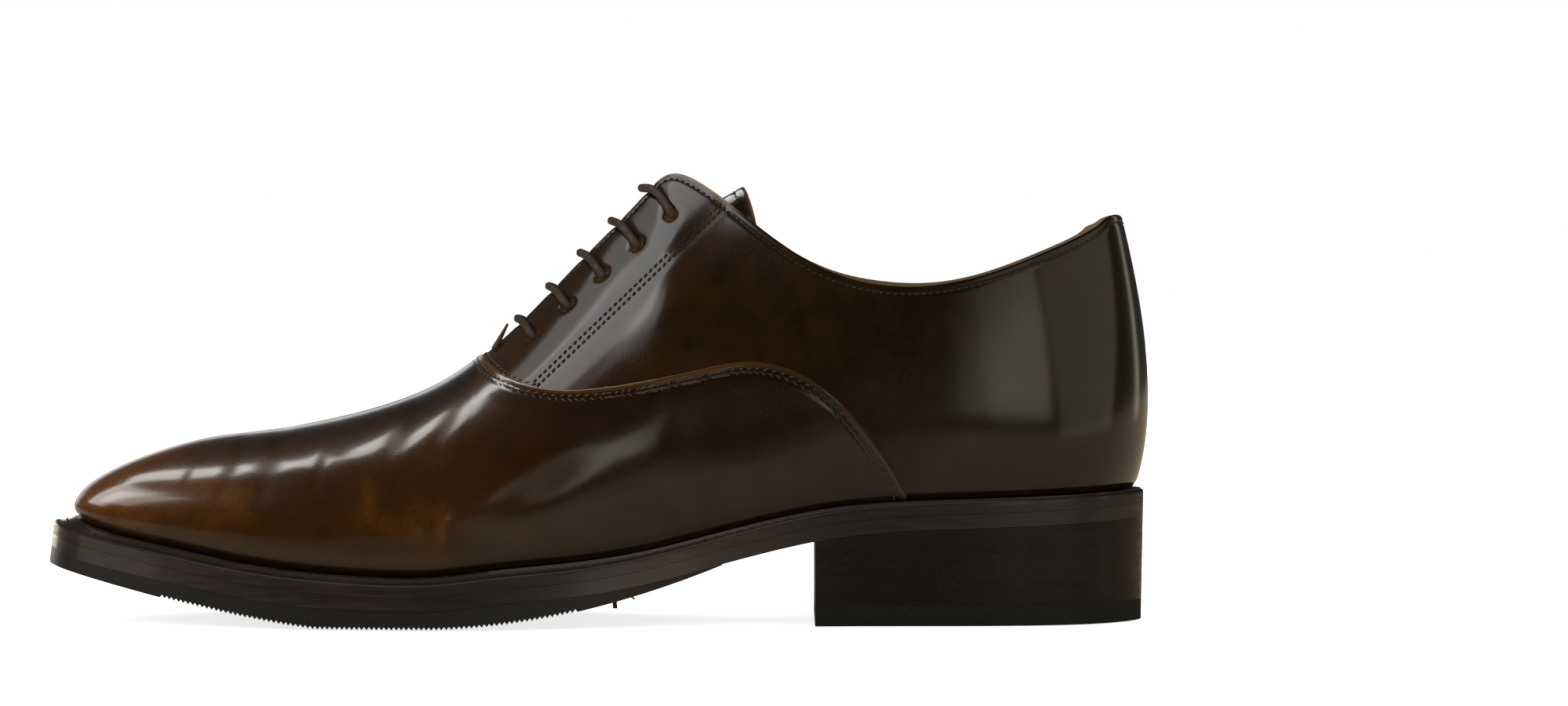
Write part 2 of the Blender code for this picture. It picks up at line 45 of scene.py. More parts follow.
# Camera at the photograph's angle, square to the lateral side and a little above the welt
cameraSetup = {
    "place": (0.0524, -1.39865, 0.095),
    "aim": (0.0524, 0.00135, 0.075),
    "lens": 113.4,
    "sensorWidth": 36.0,
}


def addCamera():
    data = bpy.data.cameras.new("camera")
    data.lens = cameraSetup["lens"]
    data.sensor_width = cameraSetup["sensorWidth"]
    camera = bpy.data.objects.new("camera", data)
    bpy.context.scene.collection.objects.link(camera)
    camera.location = cameraSetup["place"]
    ahead = Vector(cameraSetup["aim"]) - camera.location
    camera.rotation_euler = ahead.to_track_quat("-Z", "Y").to_euler()
    bpy.context.scene.camera = camera


addCamera()
print("camera placed")

# The shoe's own shape in mm, repeated from its solids: one row for each section, toe to heel.
# A station w runs round the shoe, 0 at the toe, lateral below 0 and medial above; v goes up the wall.
sectionNames = (
    "footX", "lateralY", "medialY", "topX", "ridgeY", "topZ", "fan",
    "lateralLean", "medialLean", "footPull", "drop", "topPull",
)
sectionTable = np.array([
    (-147.9, 4.0, 4.0, -106.0, 3.4, 51.1, 0, 36, 36, 10.8, 7, 16.5),
    (-145.6, -5.0, 12.0, -103.0, 3.3, 51.4, 28, 33, 33, 11.4, 6, 17.0),
    (-138.5, -13.4, 18.8, -96.5, 3.1, 52.2, 52, 28, 28, 13.2, 4.5, 18.5),
    (-124.0, -22.6, 27.0, -86.5, 2.8, 53.6, 68, 24, 24, 16.0, 3, 21.0),
    (-104.0, -32.0, 35.4, -74.0, 2.3, 56.1, 78, 23, 23, 20.0, 1.5, 24.0),
    (-81.0, -40.4, 41.6, -60.5, 1.6, 59.7, 85, 24, 24, 24.0, 0, 27.0),
    (-58.0, -45.6, 43.6, -46.5, 0.8, 65.4, 89, 24, 25, 27.0, 3, 28.0),
    (-38.0, -46.6, 40.8, -33.6, 0.2, 74.0, 90, 22, 27, 29.0, 8, 27.0),
    (-21.0, -45.0, 36.0, -20.0, 0.0, 86.4, 90, 20, 29, 31.0, 20, 27.0),
    (-5.0, -42.6, 31.6, -5.0, 0.0, 102.1, 90, 18, 30, 33.0, 33, 28.0),
    (8.0, -40.2, 28.4, 8.0, 0.0, 115.3, 90, 16, 30, 35.0, 43, 30.0),
    (17.0, -38.6, 26.8, 15.8, 0.0, 123.6, 90, 15, 29, 36.0, 48, 32.0),
    (24.0, -37.4, 26.0, 20.6, 0.0, 126.0, 90, 14, 28, 36.0, 52, 32.0),
    (31.0, -36.4, 25.6, 26.0, 0.0, 124.6, 90, 14, 27, 35.0, 58, 31.0),
    (40.0, -35.4, 25.6, 35.2, 0.0, 118.5, 90, 13, 25, 32.0, 64, 29.0),
    (52.0, -34.5, 26.4, 49.0, 0.0, 107.6, 90, 12, 22, 28.0, 70, 27.0),
    (68.0, -33.8, 28.4, 67.0, 0.0, 97.3, 90, 12, 18, 24.0, 76, 24.0),
    (88.0, -33.4, 30.8, 88.0, 0.0, 93.9, 92, 12, 14, 22.0, 82, 22.0),
    (107.0, -33.0, 31.8, 108.0, 0.0, 97.3, 97, 13, 13, 22.0, 83, 23.0),
    (123.0, -30.8, 30.4, 124.5, 0.0, 103.4, 108, 14, 14, 22.0, 82, 25.0),
    (136.0, -25.4, 25.2, 136.6, 0.0, 108.9, 128, 16, 16, 22.0, 79, 27.0),
    (146.0, -15.2, 15.2, 144.6, 0.0, 113.1, 152, 18, 18, 22.0, 77, 28.0),
    (151.5, 0.0, 0.0, 147.6, 0.0, 113.0, 180, 19, 19, 22.0, 76, 28.0),
])
heelStation = len(sectionTable) - 1
throatStation = 7
halfOpening = (0, 1.2, 1.5, 2.0, 2.6, 4.4, 7.8, 13.6, 21.0, 27.2, 30.0, 29.4, 25.0, 17.4, 8.6, 0)
collarRise = {"height": 1.3, "x": 78.0, "reach": 20.0}  # the collar's inner side stands higher
# and both its sides end in a small nib at the heel
collarNib = {"height": 0.9, "from": 140.0, "to": 144.0, "medial": 0.9, "medialX": 139.6, "medialReach": 1.6}

# The welt's upper edge along the sole: height, stand-out from the upper's foot, rise to it, outward slope
soleEdgeNames = ("x", "edgeZ", "margin", "rise", "flare")
soleEdgeTable = np.array([
    (-156.0, 28.3, 7.8, 3.6, 0.115),
    (-148.0, 25.5, 7.3, 3.3, 0.115),
    (-140.0, 23.6, 6.4, 2.4, 0.115),
    (-120.0, 19.7, 5.8, 2.0, 0.115),
    (-100.0, 16.0, 5.5, 1.9, 0.115),
    (-80.0, 13.6, 5.2, 1.8, 0.115),
    (-60.0, 12.4, 5.0, 1.8, 0.115),
    (-45.0, 12.4, 4.9, 1.8, 0.11),
    (-28.0, 14.2, 4.7, 1.8, 0.10),
    (-8.0, 16.1, 4.5, 1.8, 0.085),
    (10.0, 18.8, 4.2, 1.6, 0.065),
    (30.0, 23.6, 3.9, 1.4, 0.04),
    (50.0, 28.7, 3.5, 1.2, 0.0),
    (63.0, 31.4, 3.3, 1.0, -0.02),
    (78.0, 33.3, 3.0, 0.8, -0.02),
    (100.0, 34.4, 2.8, 0.6, -0.02),
    (125.0, 35.3, 2.6, 0.5, -0.02),
    (154.0, 36.7, 2.4, 0.4, -0.02),
])

# The vamp's edge from the side, from the throat round to the welt (x, z)
vampEdgeTable = np.array([
    (-33.6, 75.0), (-27.3, 70.1), (-21.4, 67.2), (-15.6, 65.8), (-8.9, 65.2), (0.0, 65.7),
    (8.7, 66.9), (19.5, 69.0), (30.4, 71.4), (41.2, 73.1), (47.7, 72.7), (54.2, 71.0),
    (60.7, 67.7), (67.2, 62.7), (73.6, 55.4), (80.0, 46.7), (84.5, 39.2), (86.6, 34.4),
])


def smoothStep(low, high, value):
    share = np.clip((value - low) / (high - low), 0, 1)
    return share * share * (3 - 2 * share)


def fade(low, high, value):
    return 1 - smoothStep(low, high, value)


def bell(value, reach):
    return np.exp(-((value / reach) ** 2))


def closedCurve(values):
    # smooth and periodic, through one value for each station round the shoe
    values = np.asarray(values, float)
    count = len(values)
    bend = 6 * (np.roll(values, 1) - 2 * values + np.roll(values, -1))
    matrix = 4 * np.eye(count) + np.roll(np.eye(count), 1, 0) + np.roll(np.eye(count), -1, 0)
    bend = np.linalg.solve(matrix, bend)

    def at(w):
        place = np.mod(np.asarray(w, float) + heelStation, count)
        low = np.floor(place).astype(int) % count
        high = (low + 1) % count
        right = place - np.floor(place)
        left = 1 - right
        curve = (left**3 - left) * bend[low] + (right**3 - right) * bend[high]
        return left * values[low] + right * values[high] + curve / 6

    return at


def openCurve(places, values):
    # smooth through values at rising places, straight at both ends
    places, values = np.asarray(places, float), np.asarray(values, float)
    span = np.diff(places)
    count = len(places)
    matrix, target = np.eye(count), np.zeros(count)
    for i in range(1, count - 1):
        matrix[i, i - 1 : i + 2] = span[i - 1], 2 * (span[i - 1] + span[i]), span[i]
        slopes = np.diff(values[i - 1 : i + 2]) / span[i - 1 : i + 1]
        target[i] = 6 * (slopes[1] - slopes[0])
    bend = np.linalg.solve(matrix, target)

    def at(place):
        place = np.clip(np.asarray(place, float), places[0], places[-1])
        low = np.clip(np.searchsorted(places, place, side="right") - 1, 0, count - 2)
        width = span[low]
        right = (place - places[low]) / width
        left = 1 - right
        curve = (left**3 - left) * bend[low] + (right**3 - right) * bend[low + 1]
        return left * values[low] + right * values[low + 1] + curve * width**2 / 6

    return at


def wallCurves():
    column = dict(zip(sectionNames, sectionTable.T))
    stations = np.arange(-heelStation, heelStation)
    row = np.abs(stations)
    even = ("footX", "topX", "ridgeY", "topZ", "footPull", "drop", "topPull")
    curves = {name: closedCurve(column[name][row]) for name in even}
    lateral = stations < 0
    for name, near, far in (("footY", "lateralY", "medialY"), ("lean", "lateralLean", "medialLean")):
        curves[name] = closedCurve(np.where(lateral, column[near][row], column[far][row]))
    fan = np.radians(column["fan"][row]) * np.sign(stations)
    curves["outX"] = closedCurve(-np.cos(fan))
    curves["outY"] = closedCurve(np.sin(fan))
    return curves


wall = wallCurves()
soleEdge = {
    name: openCurve(soleEdgeTable[:, 0], values) for name, values in zip(soleEdgeNames, soleEdgeTable.T)
}
openingHalf = openCurve(np.arange(throatStation, heelStation + 1), halfOpening)
vampEdgeZ = openCurve(vampEdgeTable[:, 0], vampEdgeTable[:, 1])
solidGap = 0.3  # between the solids; the pieces here close most of it
samples = {  # how finely lines are measured
    "along": 2001, "rows": 161, "rising": 801, "tailStep": 0.02, "throat": 60, "edge": 500, "seam": 40,
    "bar": 60,
}


def unit(vectors):
    return vectors / np.linalg.norm(vectors, axis=-1, keepdims=True)


def weltTop(x):
    return soleEdge["edgeZ"](x) + soleEdge["rise"](x)


def footPoint(w):
    x = wall["footX"](w)
    return np.stack([x, wall["footY"](w), weltTop(x) + solidGap], axis=-1)


def topPoint(w):
    x = wall["topX"](w)
    half = np.where(np.abs(w) > throatStation, openingHalf(np.abs(w)), 0.0)
    rise = collarRise["height"] * bell(x - collarRise["x"], collarRise["reach"])
    rise = rise + collarNib["medial"] * bell(x - collarNib["medialX"], collarNib["medialReach"])
    rise = np.where((w > throatStation) & (np.abs(w) < heelStation), rise, 0.0)
    rise = rise + collarNib["height"] * smoothStep(collarNib["from"], collarNib["to"], x)
    return np.stack([x, wall["ridgeY"](w) + np.sign(w) * half, wall["topZ"](w) + rise], axis=-1)


def wallPoint(w, v):
    w, v = np.broadcast_arrays(np.asarray(w, float), np.asarray(v, float))
    out = unit(np.stack([wall["outX"](w), wall["outY"](w), np.zeros_like(w)], axis=-1))
    up = np.array([0.0, 0.0, 1.0])
    lean, drop = np.radians(wall["lean"](w))[..., None], np.radians(wall["drop"](w))[..., None]
    foot, top = footPoint(w), topPoint(w)
    low = foot + wall["footPull"](w)[..., None] * (np.sin(lean) * out + np.cos(lean) * up)
    high = top + wall["topPull"](w)[..., None] * (np.cos(drop) * out - np.sin(drop) * up)
    v = v[..., None]
    rest = 1 - v
    return rest**3 * foot + 3 * rest**2 * v * low + 3 * rest * v**2 * high + v**3 * top


def wallNormal(w, v, step=0.01):
    w = np.asarray(w, float)
    v = np.clip(v, step, 1 - 2 * step)
    along = wallPoint(w + step, v) - wallPoint(w - step, v)
    rising = wallPoint(w, v + step) - wallPoint(w, v - step)
    return unit(np.cross(rising, along))


def arcLength(points):
    steps = np.linalg.norm(np.diff(points, axis=0), axis=-1)
    return np.concatenate([np.zeros((1, *steps.shape[1:])), np.cumsum(steps, axis=0)])


def evenStations(first, last, spacing, height=0.35):
    # stations evenly spread along the wall, spacing mm apart
    fine = np.linspace(first, last, samples["along"])
    length = arcLength(wallPoint(fine, height))
    count = max(2, int(round(length[-1] / spacing)))
    return np.interp(np.linspace(0, length[-1], count + 1), length, fine)


def bothSides(half):
    # one side's stations, toe to heel, and the other side's before them
    return np.concatenate([-half[:0:-1], half])


def wallRows(stations, low, high, edgeRows, evenRows):
    # heights for each station, from its upper edge down: set distances in mm first, then even steps
    share = np.linspace(0, 1, samples["rows"])[:, None]
    v = high + (low - high) * share
    length = arcLength(wallPoint(np.broadcast_to(stations, v.shape), v))
    edgeRows = np.asarray(edgeRows)
    rows = []
    for i in range(len(stations)):
        total = length[-1, i]
        near = edgeRows * min(1.0, 0.5 * total / edgeRows[-1])
        rest = np.linspace(near[-1], total, evenRows + 1)[1:]
        rows.append(np.interp(np.concatenate([near, rest]), length[:, i], v[:, i]))
    return np.array(rows).T


def vampShare(w):
    # how far up the wall the vamp reaches, 1 in front of the throat
    if abs(w) <= throatStation:
        return 1.0
    rising = np.linspace(0.0, 1.0, samples["rising"])
    points = wallPoint(np.full_like(rising, w), rising)
    below = points[:, 2] < vampEdgeZ(points[:, 0])
    return float(rising[below].max()) if below.any() else 0.0


def vampTail(endRise):
    for w in np.arange(heelStation, throatStation, -samples["tailStep"]):
        share = vampShare(w)
        if share and wallPoint(w, share)[2] - footPoint(w)[2] > endRise:
            return w
    return throatStation


search = {
    "lastStation": 16, "lowest": 0.3, "across": 181, "up": 121, "stepW": 0.01, "stepV": 0.001, "rounds": 4,
}
searchStations, searchHeights = np.meshgrid(
    np.linspace(throatStation, search["lastStation"], search["across"]),
    np.linspace(search["lowest"], 1.0, search["up"]),
)
searchGrids = {side: wallPoint(side * searchStations, searchHeights) for side in (-1, 1)}


def locate(x, z, side):
    # the station and height on one side's wall that show at (x, z) from the side
    points = searchGrids[side]
    best = np.argmin((points[..., 0] - x) ** 2 + (points[..., 2] - z) ** 2)
    w, v = side * searchStations.flat[best], searchHeights.flat[best]
    stepW, stepV = search["stepW"], search["stepV"]
    for _ in range(search["rounds"]):
        here = wallPoint(w, v)
        byW = (wallPoint(w + stepW, v) - here) / stepW
        byV = (wallPoint(w, v + stepV) - here) / stepV
        slope = np.column_stack([byW, byV])[[0, 2]]
        move = np.linalg.solve(slope, [x - here[0], z - here[2]])
        w, v = w + move[0], min(v + move[1], 1.0)
    return w, v


def outwardPlan(w, step=0.02):
    along = footPoint(np.asarray(w) + step)[..., :2] - footPoint(np.asarray(w) - step)[..., :2]
    return unit(np.stack([-along[..., 1], along[..., 0]], axis=-1))


def planOutline(w, grow):
    return footPoint(w)[..., :2] + outwardPlan(w) * np.asarray(grow)[..., None]


def edgeOutline(w, depth, grow=0.0):
    # the sole's outline in plan, depth mm below the welt's edge
    x = wall["footX"](w)
    return planOutline(w, soleEdge["margin"](x) + soleEdge["flare"](x) * depth + grow)


def nearness(points, line):
    # distance in mm from each point to a finely sampled line
    tree = kdtree.KDTree(len(line))
    for i, point in enumerate(line):
        tree.insert(point, i)
    tree.balance()
    flat = points.reshape(-1, 3)
    return np.array([tree.find(point)[2] for point in flat]).reshape(points.shape[:-1])


def pointsAt(places, length, line):
    return np.stack([np.interp(places, length, line[:, k]) for k in range(3)], axis=-1)


def refine(line, spacing):
    # the same line with points a set distance apart
    length = arcLength(line)
    count = max(2, int(length[-1] / spacing))
    return pointsAt(np.linspace(0, length[-1], count + 1), length, line)


# Meshes
meshSetup = {"weldMm": 0.004, "sharp": 50.0}  # degrees from which an edge shows


def metres(points):
    return (np.asarray(points, float) + shoeShift) * mm


def finishMesh(name, points, faces, kinds=None, fields=None, sharp=meshSetup["sharp"]):
    # one welded mesh with outward normals; kinds are the faces' material numbers, fields painted values
    mesh = bpy.data.meshes.new(name)
    mesh.from_pydata(metres(points).tolist(), [], [tuple(int(i) for i in face) for face in faces])
    if kinds is not None:
        mesh.polygons.foreach_set("material_index", np.asarray(kinds, np.int32))
    for field, values in (fields or {}).items():
        layer = mesh.attributes.new(field, "FLOAT", "POINT")
        layer.data.foreach_set("value", np.asarray(values, np.float32))
    shape = bmesh.new()
    shape.from_mesh(mesh)
    weld = meshSetup["weldMm"] * mm
    bmesh.ops.remove_doubles(shape, verts=shape.verts[:], dist=weld)
    bmesh.ops.dissolve_degenerate(shape, edges=shape.edges[:], dist=weld)
    bmesh.ops.recalc_face_normals(shape, faces=shape.faces[:])
    shape.to_mesh(mesh)
    shape.free()
    mesh.shade_smooth()
    mesh.set_sharp_from_angle(angle=math.radians(sharp))
    return mesh


groups = {name: bpy.data.collections.new(name) for name in ("vamp", "quarter", "tongue", "sole")}
for group in groups.values():
    bpy.context.scene.collection.children.link(group)


def addPiece(mesh, kinds, standsFor=(), group="quarter"):
    # an object of its mesh's name; kinds are its materials, in the order of the faces' material numbers
    piece = bpy.data.objects.new(mesh.name, mesh)
    groups[group].objects.link(piece)
    for kind in kinds:
        mesh.materials.append(materials[kind])
    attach(piece, "root")
    if standsFor:
        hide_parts(*standsFor)
    return piece


def gridFaces(rows, columns, start=0, skip=None):
    index = start + np.arange(rows * columns).reshape(rows, columns)
    quads = np.stack([index[:-1, :-1], index[:-1, 1:], index[1:, 1:], index[1:, :-1]], axis=-1)
    return quads[~skip] if skip is not None else quads.reshape(-1, 4)


def openEdges(faces):
    # edges that only one face has, round a sheet and round its holes
    edges = np.sort(np.stack([faces, np.roll(faces, -1, axis=1)], axis=-1).reshape(-1, 2), axis=1)
    edges, uses = np.unique(edges, axis=0, return_counts=True)
    return edges[uses == 1]


def leatherShell(name, outer, inner, fields=None, holes=None, joinedTop=None):
    # a closed sheet from its two faces, both grids alike; holes marks cells that are punched out,
    # joinedTop the columns whose upper edge is one with the other side's
    rows, columns = outer.shape[:2]
    count = rows * columns
    outerFaces = gridFaces(rows, columns, 0, holes)
    ring = openEdges(outerFaces)
    if joinedTop is not None:
        joined = np.zeros(count, bool)
        joined[:columns] = joinedTop
        ring = ring[~joined[ring].all(axis=1)]
    rims = np.column_stack([ring, ring[:, ::-1] + count])
    faces = np.concatenate([outerFaces, outerFaces[:, ::-1] + count, rims])
    kinds = np.repeat([0, 1, 2], [len(outerFaces), len(outerFaces), len(rims)])
    points = np.concatenate([outer.reshape(-1, 3), inner.reshape(-1, 3)])
    painted = {field: np.concatenate([values.ravel()] * 2) for field, values in (fields or {}).items()}
    return finishMesh(name, points, faces, kinds, painted)


def tubeFaces(rings, sides):
    index = np.arange(rings * sides).reshape(rings, sides)
    beside = np.roll(index, -1, axis=1)
    quads = np.stack([index[:-1], beside[:-1], beside[1:], index[1:]], axis=-1).reshape(-1, 4)
    return [*quads, index[0], index[-1]]


cordSide = (0.3, 0.5, 0.8)  # a direction that no cord here runs in


def tubeMesh(route, radius, sides, ribs=None, taper=None):
    # a round cord along a route; ribs gives the braid's relief from (turn, length)
    length = arcLength(route)
    ahead = unit(np.gradient(route, axis=0))
    side = np.zeros_like(route)
    side[0] = unit(np.cross(ahead[0], cordSide))
    for i in range(1, len(route)):
        side[i] = unit(side[i - 1] - ahead[i] * (side[i - 1] @ ahead[i]))
    other = np.cross(ahead, side)
    turn = np.linspace(0, 2 * math.pi, sides, endpoint=False)
    size = np.full((len(route), sides), radius, float)
    if ribs is not None:
        size = size * ribs(turn[None, :], length[:, None])
    if taper is not None:
        size = size * taper(length / length[-1])[:, None]
    points = (
        route[:, None] + side[:, None] * (size * np.cos(turn))[..., None]
        + other[:, None] * (size * np.sin(turn))[..., None]
    )
    return points.reshape(-1, 3), tubeFaces(len(route), sides)


def joinTubes(name, tubes):
    points, faces, start = [], [], 0
    for tubePoints, tubeFaceList in tubes:
        points.append(tubePoints)
        faces += [tuple(i + start for i in face) for face in tubeFaceList]
        start += len(tubePoints)
    return finishMesh(name, np.concatenate(points), faces)


stitchShape = {"rings": 6, "sides": 6, "taper": 0.75, "thinnest": 0.05, "aimMm": 0.3}


def stitchTubes(line, normals, thread):
    # one short raised bar of thread for each stitch along a seam
    length = arcLength(line)
    count = max(1, int(length[-1] / thread["pitch"]))
    middles = (np.arange(count) + 0.5) * length[-1] / count
    at, up = pointsAt(middles, length, line), unit(pointsAt(middles, length, normals))
    aim = stitchShape["aimMm"]
    along = unit(pointsAt(middles + aim, length, line) - pointsAt(middles - aim, length, line))
    slant = math.radians(thread["slant"])
    along = along * math.cos(slant) + unit(np.cross(up, along)) * math.sin(slant)
    across = unit(np.cross(up, along))
    rings = np.linspace(-1, 1, stitchShape["rings"])[:, None]
    turn = np.linspace(0, 2 * math.pi, stitchShape["sides"], endpoint=False)
    size = np.clip(1 - stitchShape["taper"] * rings**4, stitchShape["thinnest"], 1)
    size = thread["radius"] * np.sqrt(size)
    lift = thread["lift"] - thread["sink"] * rings**2
    faces = tubeFaces(stitchShape["rings"], stitchShape["sides"])
    tubes = []
    for i in range(count):
        points = (
            at[i] + along[i] * (rings * thread["length"] / 2)[..., None]
            + up[i] * (lift + size * np.cos(turn))[..., None]
            + across[i] * (size * np.sin(turn))[..., None]
        )
        tubes.append((points.reshape(-1, 3), faces))
    return tubes


# Shader nodes

def addNode(tree, kind, values=None, **settings):
    made = tree.nodes.new(kind)
    for name, value in settings.items():
        setattr(made, name, value)
    for name, value in (values or {}).items():
        feed(tree, made.inputs[name], value)
    return made


def feed(tree, target, source):
    # a socket is linked, a plain value is set
    if isinstance(source, bpy.types.NodeSocket):
        tree.links.new(source, target)
    else:
        target.default_value = source


def maths(tree, operation, *sources, clamp=False):
    values = dict(enumerate(sources))
    return addNode(tree, "ShaderNodeMath", values, operation=operation, use_clamp=clamp).outputs[0]


def mixColours(tree, share, first, second):
    values = {0: share, 6: first, 7: second}
    return addNode(tree, "ShaderNodeMix", values, data_type="RGBA", clamp_factor=True).outputs[2]


def spread(tree, source, low, high, toLow=0.0, toHigh=1.0):
    values = dict(enumerate((source, low, high, toLow, toHigh)))
    return addNode(tree, "ShaderNodeMapRange", values, interpolation_type="SMOOTHSTEP").outputs[0]


def newGroup(name, sockets, results):
    group = bpy.data.node_groups.new(name, "ShaderNodeTree")
    for label, value in sockets.items():
        kind = "NodeSocketColor" if isinstance(value, tuple) else "NodeSocketFloat"
        socket = group.interface.new_socket(label, in_out="INPUT", socket_type=kind)
        socket.default_value = value
    for label, kind in results.items():
        group.interface.new_socket(label, in_out="OUTPUT", socket_type=kind)
    inside = addNode(group, "NodeGroupInput")
    outside = addNode(group, "NodeGroupOutput")
    return group, inside.outputs, outside.inputs


def objectCoordinates(tree):
    return addNode(tree, "ShaderNodeTexCoord").outputs["Object"]


def shoeCoordinates(tree, sizeMm, stretch=(1.0, 1.0, 1.0)):
    # the shoe's own coordinates, one unit for each sizeMm
    scaled = addNode(
        tree, "ShaderNodeVectorMath", {0: objectCoordinates(tree), 1: stretch}, operation="MULTIPLY"
    )
    values = {0: scaled.outputs[0], "Scale": maths(tree, "DIVIDE", 1 / mm, sizeMm)}
    return addNode(tree, "ShaderNodeVectorMath", values, operation="SCALE").outputs[0]


def alongShoe(tree):
    # metres from the toe's side to the heel's
    return addNode(tree, "ShaderNodeSeparateXYZ", {0: objectCoordinates(tree)}).outputs["X"]


def noise(tree, vector, detail, rough=0.55):
    values = {"Vector": vector, "Scale": 1.0, "Detail": detail, "Roughness": rough}
    return addNode(tree, "ShaderNodeTexNoise", values).outputs[0]


def hideGrainGroup():
    # pebbled cells with fine pores between them
    group, given, result = newGroup(
        "hideGrain", {"Cell mm": 0.9, "Pore mm": 0.3, "Pores": 0.4}, {"Height": "NodeSocketFloat"}
    )
    values = {"Vector": shoeCoordinates(group, given["Cell mm"]), "Scale": 1.0, "Smoothness": 0.6}
    cells = addNode(group, "ShaderNodeTexVoronoi", values, feature="SMOOTH_F1")
    pores = noise(group, shoeCoordinates(group, given["Pore mm"]), 2.0)
    fine = maths(group, "MULTIPLY", pores, given["Pores"])
    feed(group, result["Height"], maths(group, "SUBTRACT", fine, cells.outputs["Distance"]))
    return group


def burnishGroup():
    # hand-rubbed tone from pale through middle to dark, clouded and flecked
    group, given, result = newGroup(
        "handBurnish",
        {
            "Tone": 0.5, "Cloud mm": 14.0, "Clouding": 0.25, "Fleck mm": 0.8, "Flecks": 0.12,
            "Pale": (0.3, 0.12, 0.02, 1), "Middle": (0.1, 0.04, 0.01, 1), "Dark": (0.01, 0.008, 0.006, 1),
        },
        {"Color": "NodeSocketColor", "Worn tone": "NodeSocketFloat"},
    )
    tone = given["Tone"]
    for size, amount, detail in (("Cloud mm", "Clouding", 4.0), ("Fleck mm", "Flecks", 2.0)):
        patch = maths(group, "SUBTRACT", noise(group, shoeCoordinates(group, given[size]), detail), 0.5)
        change = maths(group, "MULTIPLY", patch, given[amount])
        tone = maths(group, "ADD", tone, change, clamp=amount == "Flecks")
    lower = maths(group, "MULTIPLY", tone, 2.0, clamp=True)
    upper = maths(group, "MULTIPLY_ADD", tone, 2.0, -1.0, clamp=True)
    colour = mixColours(group, lower, given["Pale"], given["Middle"])
    feed(group, result["Color"], mixColours(group, upper, colour, given["Dark"]))
    feed(group, result["Worn tone"], tone)
    return group


streakShape = {
    "stretch": (0.06, 0.06, 1.0), "detail": 4.0, "rough": 0.6, "streak": (0.32, 0.68), "speck": (0.56, 0.72),
}


def edgeStreakGroup():
    # long streaks that a brush and wax leave along a sole's edge, with specks of dust
    group, given, result = newGroup(
        "edgeStreak", {"Streak mm": 1.2, "Speck mm": 0.5},
        {"Streak": "NodeSocketFloat", "Speck": "NodeSocketFloat"},
    )
    long = shoeCoordinates(group, given["Streak mm"], streakShape["stretch"])
    streaks = noise(group, long, streakShape["detail"], streakShape["rough"])
    feed(group, result["Streak"], spread(group, streaks, *streakShape["streak"]))
    specks = noise(group, shoeCoordinates(group, given["Speck mm"]), 2.0)
    feed(group, result["Speck"], spread(group, specks, *streakShape["speck"]))
    return group


hideGrain, handBurnish, edgeStreak = hideGrainGroup(), burnishGroup(), edgeStreakGroup()
print("shader groups made")


def newMaterial(name, constants):
    material = bpy.data.materials.new(name)
    material.use_nodes = True
    shader = material.node_tree.nodes["Principled BSDF"]
    for socket, value in constants.items():
        shader.inputs[socket].default_value = value
    return material, material.node_tree, shader.inputs


def place(tree, group, values):
    return addNode(tree, "ShaderNodeGroup", values, node_tree=group).outputs


def bump(tree, shader, height, strength, depthMm):
    values = {"Height": height, "Strength": strength, "Distance": depthMm * mm}
    feed(tree, shader["Normal"], addNode(tree, "ShaderNodeBump", values).outputs[0])


def dress(tree, shader, finish, colour, height, roughness):
    # the colour, with roughness and relief from one height
    feed(tree, shader["Base Color"], colour)
    feed(tree, shader["Roughness"], maths(tree, "MULTIPLY_ADD", height, finish["rough"], roughness))
    bump(tree, shader, height, *finish["relief"])


def painted(tree, field):
    return addNode(tree, "ShaderNodeAttribute", attribute_name=field).outputs["Fac"]


# Finishes: colours, what the surface adds to the roughness, and its relief as bump strength and depth in mm
upperFinish = {
    "burnish": {
        "Pale": (0.15, 0.052, 0.005, 1), "Middle": (0.042, 0.0142, 0.0014, 1),
        "Dark": (0.007, 0.0032, 0.0007, 1),
        "Cloud mm": 9.0, "Clouding": 0.36, "Fleck mm": 0.5, "Flecks": 0.02,
    },
    "rubbed": (0.1, 0.042, 0.007, 1), "raw": (0.38, 0.24, 0.16, 1),
    "shader": {"Coat Roughness": 0.14, "Specular IOR Level": 0.09},
    "roughness": 0.26, "grainRough": 0.05, "rawRough": 0.45, "coat": 0.85,
    "grainMm": 0.75, "grainTone": -0.22, "waveMm": 12.0, "waves": 1.4, "relief": (0.25, 0.12),
}


def upperLeather():
    material, tree, shader = newMaterial("upperLeather", upperFinish["shader"])
    field = {name: painted(tree, name) for name in ("tone", "matt", "rubbed", "raw")}
    grain = place(tree, hideGrain, {"Cell mm": upperFinish["grainMm"]})["Height"]
    paleness = maths(tree, "SUBTRACT", 1.0, field["tone"])
    pitted = maths(tree, "MULTIPLY", grain, maths(tree, "MULTIPLY", paleness, upperFinish["grainTone"]))
    grained = maths(tree, "ADD", field["tone"], pitted)
    colour = place(tree, handBurnish, upperFinish["burnish"] | {"Tone": grained})["Color"]
    for worn in ("rubbed", "raw"):
        colour = mixColours(tree, field[worn], colour, upperFinish[worn])
    feed(tree, shader["Base Color"], colour)
    gloss = maths(tree, "MULTIPLY_ADD", grain, upperFinish["grainRough"], upperFinish["roughness"])
    feed(tree, shader["Roughness"], maths(tree, "MULTIPLY_ADD", field["raw"], upperFinish["rawRough"], gloss))
    coat = maths(tree, "MULTIPLY_ADD", field["matt"], -upperFinish["coat"], upperFinish["coat"])
    feed(tree, shader["Coat Weight"], coat)
    waves = noise(tree, shoeCoordinates(tree, upperFinish["waveMm"]), 1.0)
    height = maths(tree, "MULTIPLY_ADD", waves, upperFinish["waves"], grain)
    bump(tree, shader, height, *upperFinish["relief"])
    return material


